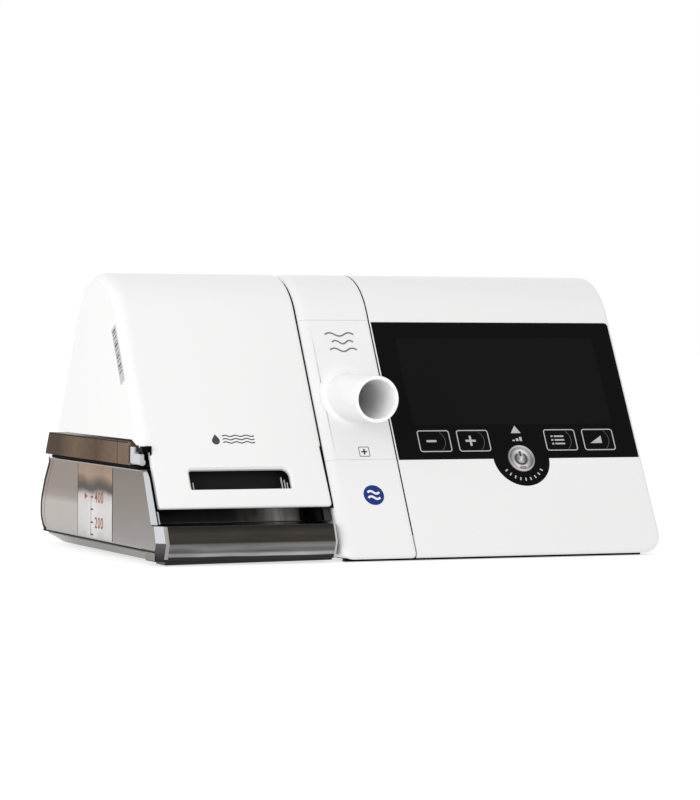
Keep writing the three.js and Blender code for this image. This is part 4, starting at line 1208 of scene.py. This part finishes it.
def make_cover_trim():
    """The clear ribs at the ends of the finger slot, and the label on the cover's side."""
    for i, (x, height) in enumerate(((-106.4, 0.42), (-62.0, 0.62), (-60.6, 0.5), (-59.4, 0.36))):
        v0 = SLOT["v0"] + 0.2
        v1 = v0 + height * (SLOT["v1"] - SLOT["v0"])
        rib = prism(f"slot_rib_{i + 1}", rect(x, v0, x + 0.3, v1, 0.1, 2), -3.2, -2.2, on_front)
        piece(rib, "cover", CLEAR, edge=0.08)
    start, end = Vector((-19.3, 107.6)), Vector((-33.6, 81.8))
    along = (end - start).normalized()
    across = Vector((along.y, -along.x))
    length = (end - start).length

    def place(a, b, out):
        spot = start + along * a + across * b
        return cover_low.x - out, spot.x, spot.y
    paper = prism("side_label", rect(0, 0, length, 6.4, 0.4, 3), 0, 0.05, place)
    piece(paper, "cover", LABEL)
    widths = (0.9, 0.4, 0.6, 0.4, 1.1, 0.5, 0.4, 0.8, 0.5, 1.0, 0.4, 0.6)
    at = 1.6
    for i, width in enumerate(widths):
        bar = prism(f"label_bar_{i + 1}", rect(at, 1.0, at + width, 5.2), 0.05, 0.09, place)
        piece(bar, "cover", DARK_PRINT)
        at += width + 0.9 + 0.5 * (i % 3)


make_tub()
make_window()
make_bumper()
make_lid()
make_latch()
make_dock()
make_cover_trim()

# ---- rear: filter door and power socket ----


def make_rear():
    low, high = box_mm("filter_door")
    x0, x1 = low.x, high.x
    v0, v1, thick = DOOR.values()
    half = thick / 2
    body = prism("filter_hatch", rounded([(x0, v0 + half), (x1, v0 + half), (x1, v1), (x0, v1)],
                                         [0.01, 0.01, 1.5, 1.5], 5), -thick, 0, on_back)
    hinge = on_back(0, v0 + half, -half)
    extend(body, circle(hinge[1], hinge[2], half, 32), x0, x1)
    for i in range(4):
        at = v0 + 9 + 6 * i
        slot = rect(x0 + 7, at, x1 - 7, at + 2.6, 1.2, 5)
        pierce(body, slot, -4, 2, on_back)
    pierce(body, rect(x0 + 18, v1 - 3.4, x1 - 18, v1 - 1.2, 1.0, 5), -1.0, 1, on_back)
    piece(body, "door", WHITE, "filter_door", edge=0.25)
    socket = prism("socket", socket_outline(0, 2.0), -14, -0.6, on_back)
    pierce(socket, circle(SOCKET["x"], SOCKET["v"], 4.2, 48), -12, 1, on_back)
    pierce(socket, circle(SOCKET["x"], SOCKET["v"], 5.6, 48), -1.2, 1, on_back)
    extend(socket, circle(SOCKET["x"], SOCKET["v"], 1.0, 24), -12.5, -3, on_back)
    piece(socket, "housing", DARK, "power_socket", edge=0.2)


make_rear()

# ---- stage ----

FLOOR = 6  # half the floor's width; the stage is in metres
LIT_POINT = Vector((0, 0, 0.07))
LIGHTS = (  # name, place, size and power
    ("key_light", (-0.565, -0.29, 0.34), 0.35, 0.55),
    ("fill_light", (-0.925, -0.89, 0.25), 0.6, 4.3),
)


def make_stage():
    corners = [(x * FLOOR, y * FLOOR, 0) for x, y in ((-1, -1), (1, -1), (1, 1), (-1, 1))]
    floor = mesh_object("floor", lambda bm: bm.faces.new([bm.verts.new(p) for p in corners]))
    floor.data.materials.append(finish("floor", (0.36, 0.36, 0.36), 0.9, vary=0.005,
                                       Emission_Color=(1, 1, 1, 1), Emission_Strength=0.68))
    world = bpy.data.worlds.new("studio")
    world.use_nodes = True
    sky = world.node_tree.nodes["Background"].inputs
    sky["Color"].default_value = (1, 1, 1, 1)
    sky["Strength"].default_value = 1.0
    bpy.context.scene.world = world
    for name, where, size, power in LIGHTS:
        data = bpy.data.lights.new(name, "AREA")
        data.size = size
        data.energy = power
        light = bpy.data.objects.new(name, data)
        light.location = where
        ahead = LIT_POINT - Vector(where)
        light.rotation_euler = ahead.to_track_quat("-Z", "Y").to_euler()
        bpy.context.scene.collection.objects.link(light)
    bpy.context.scene.view_settings.view_transform = "Standard"


make_stage()
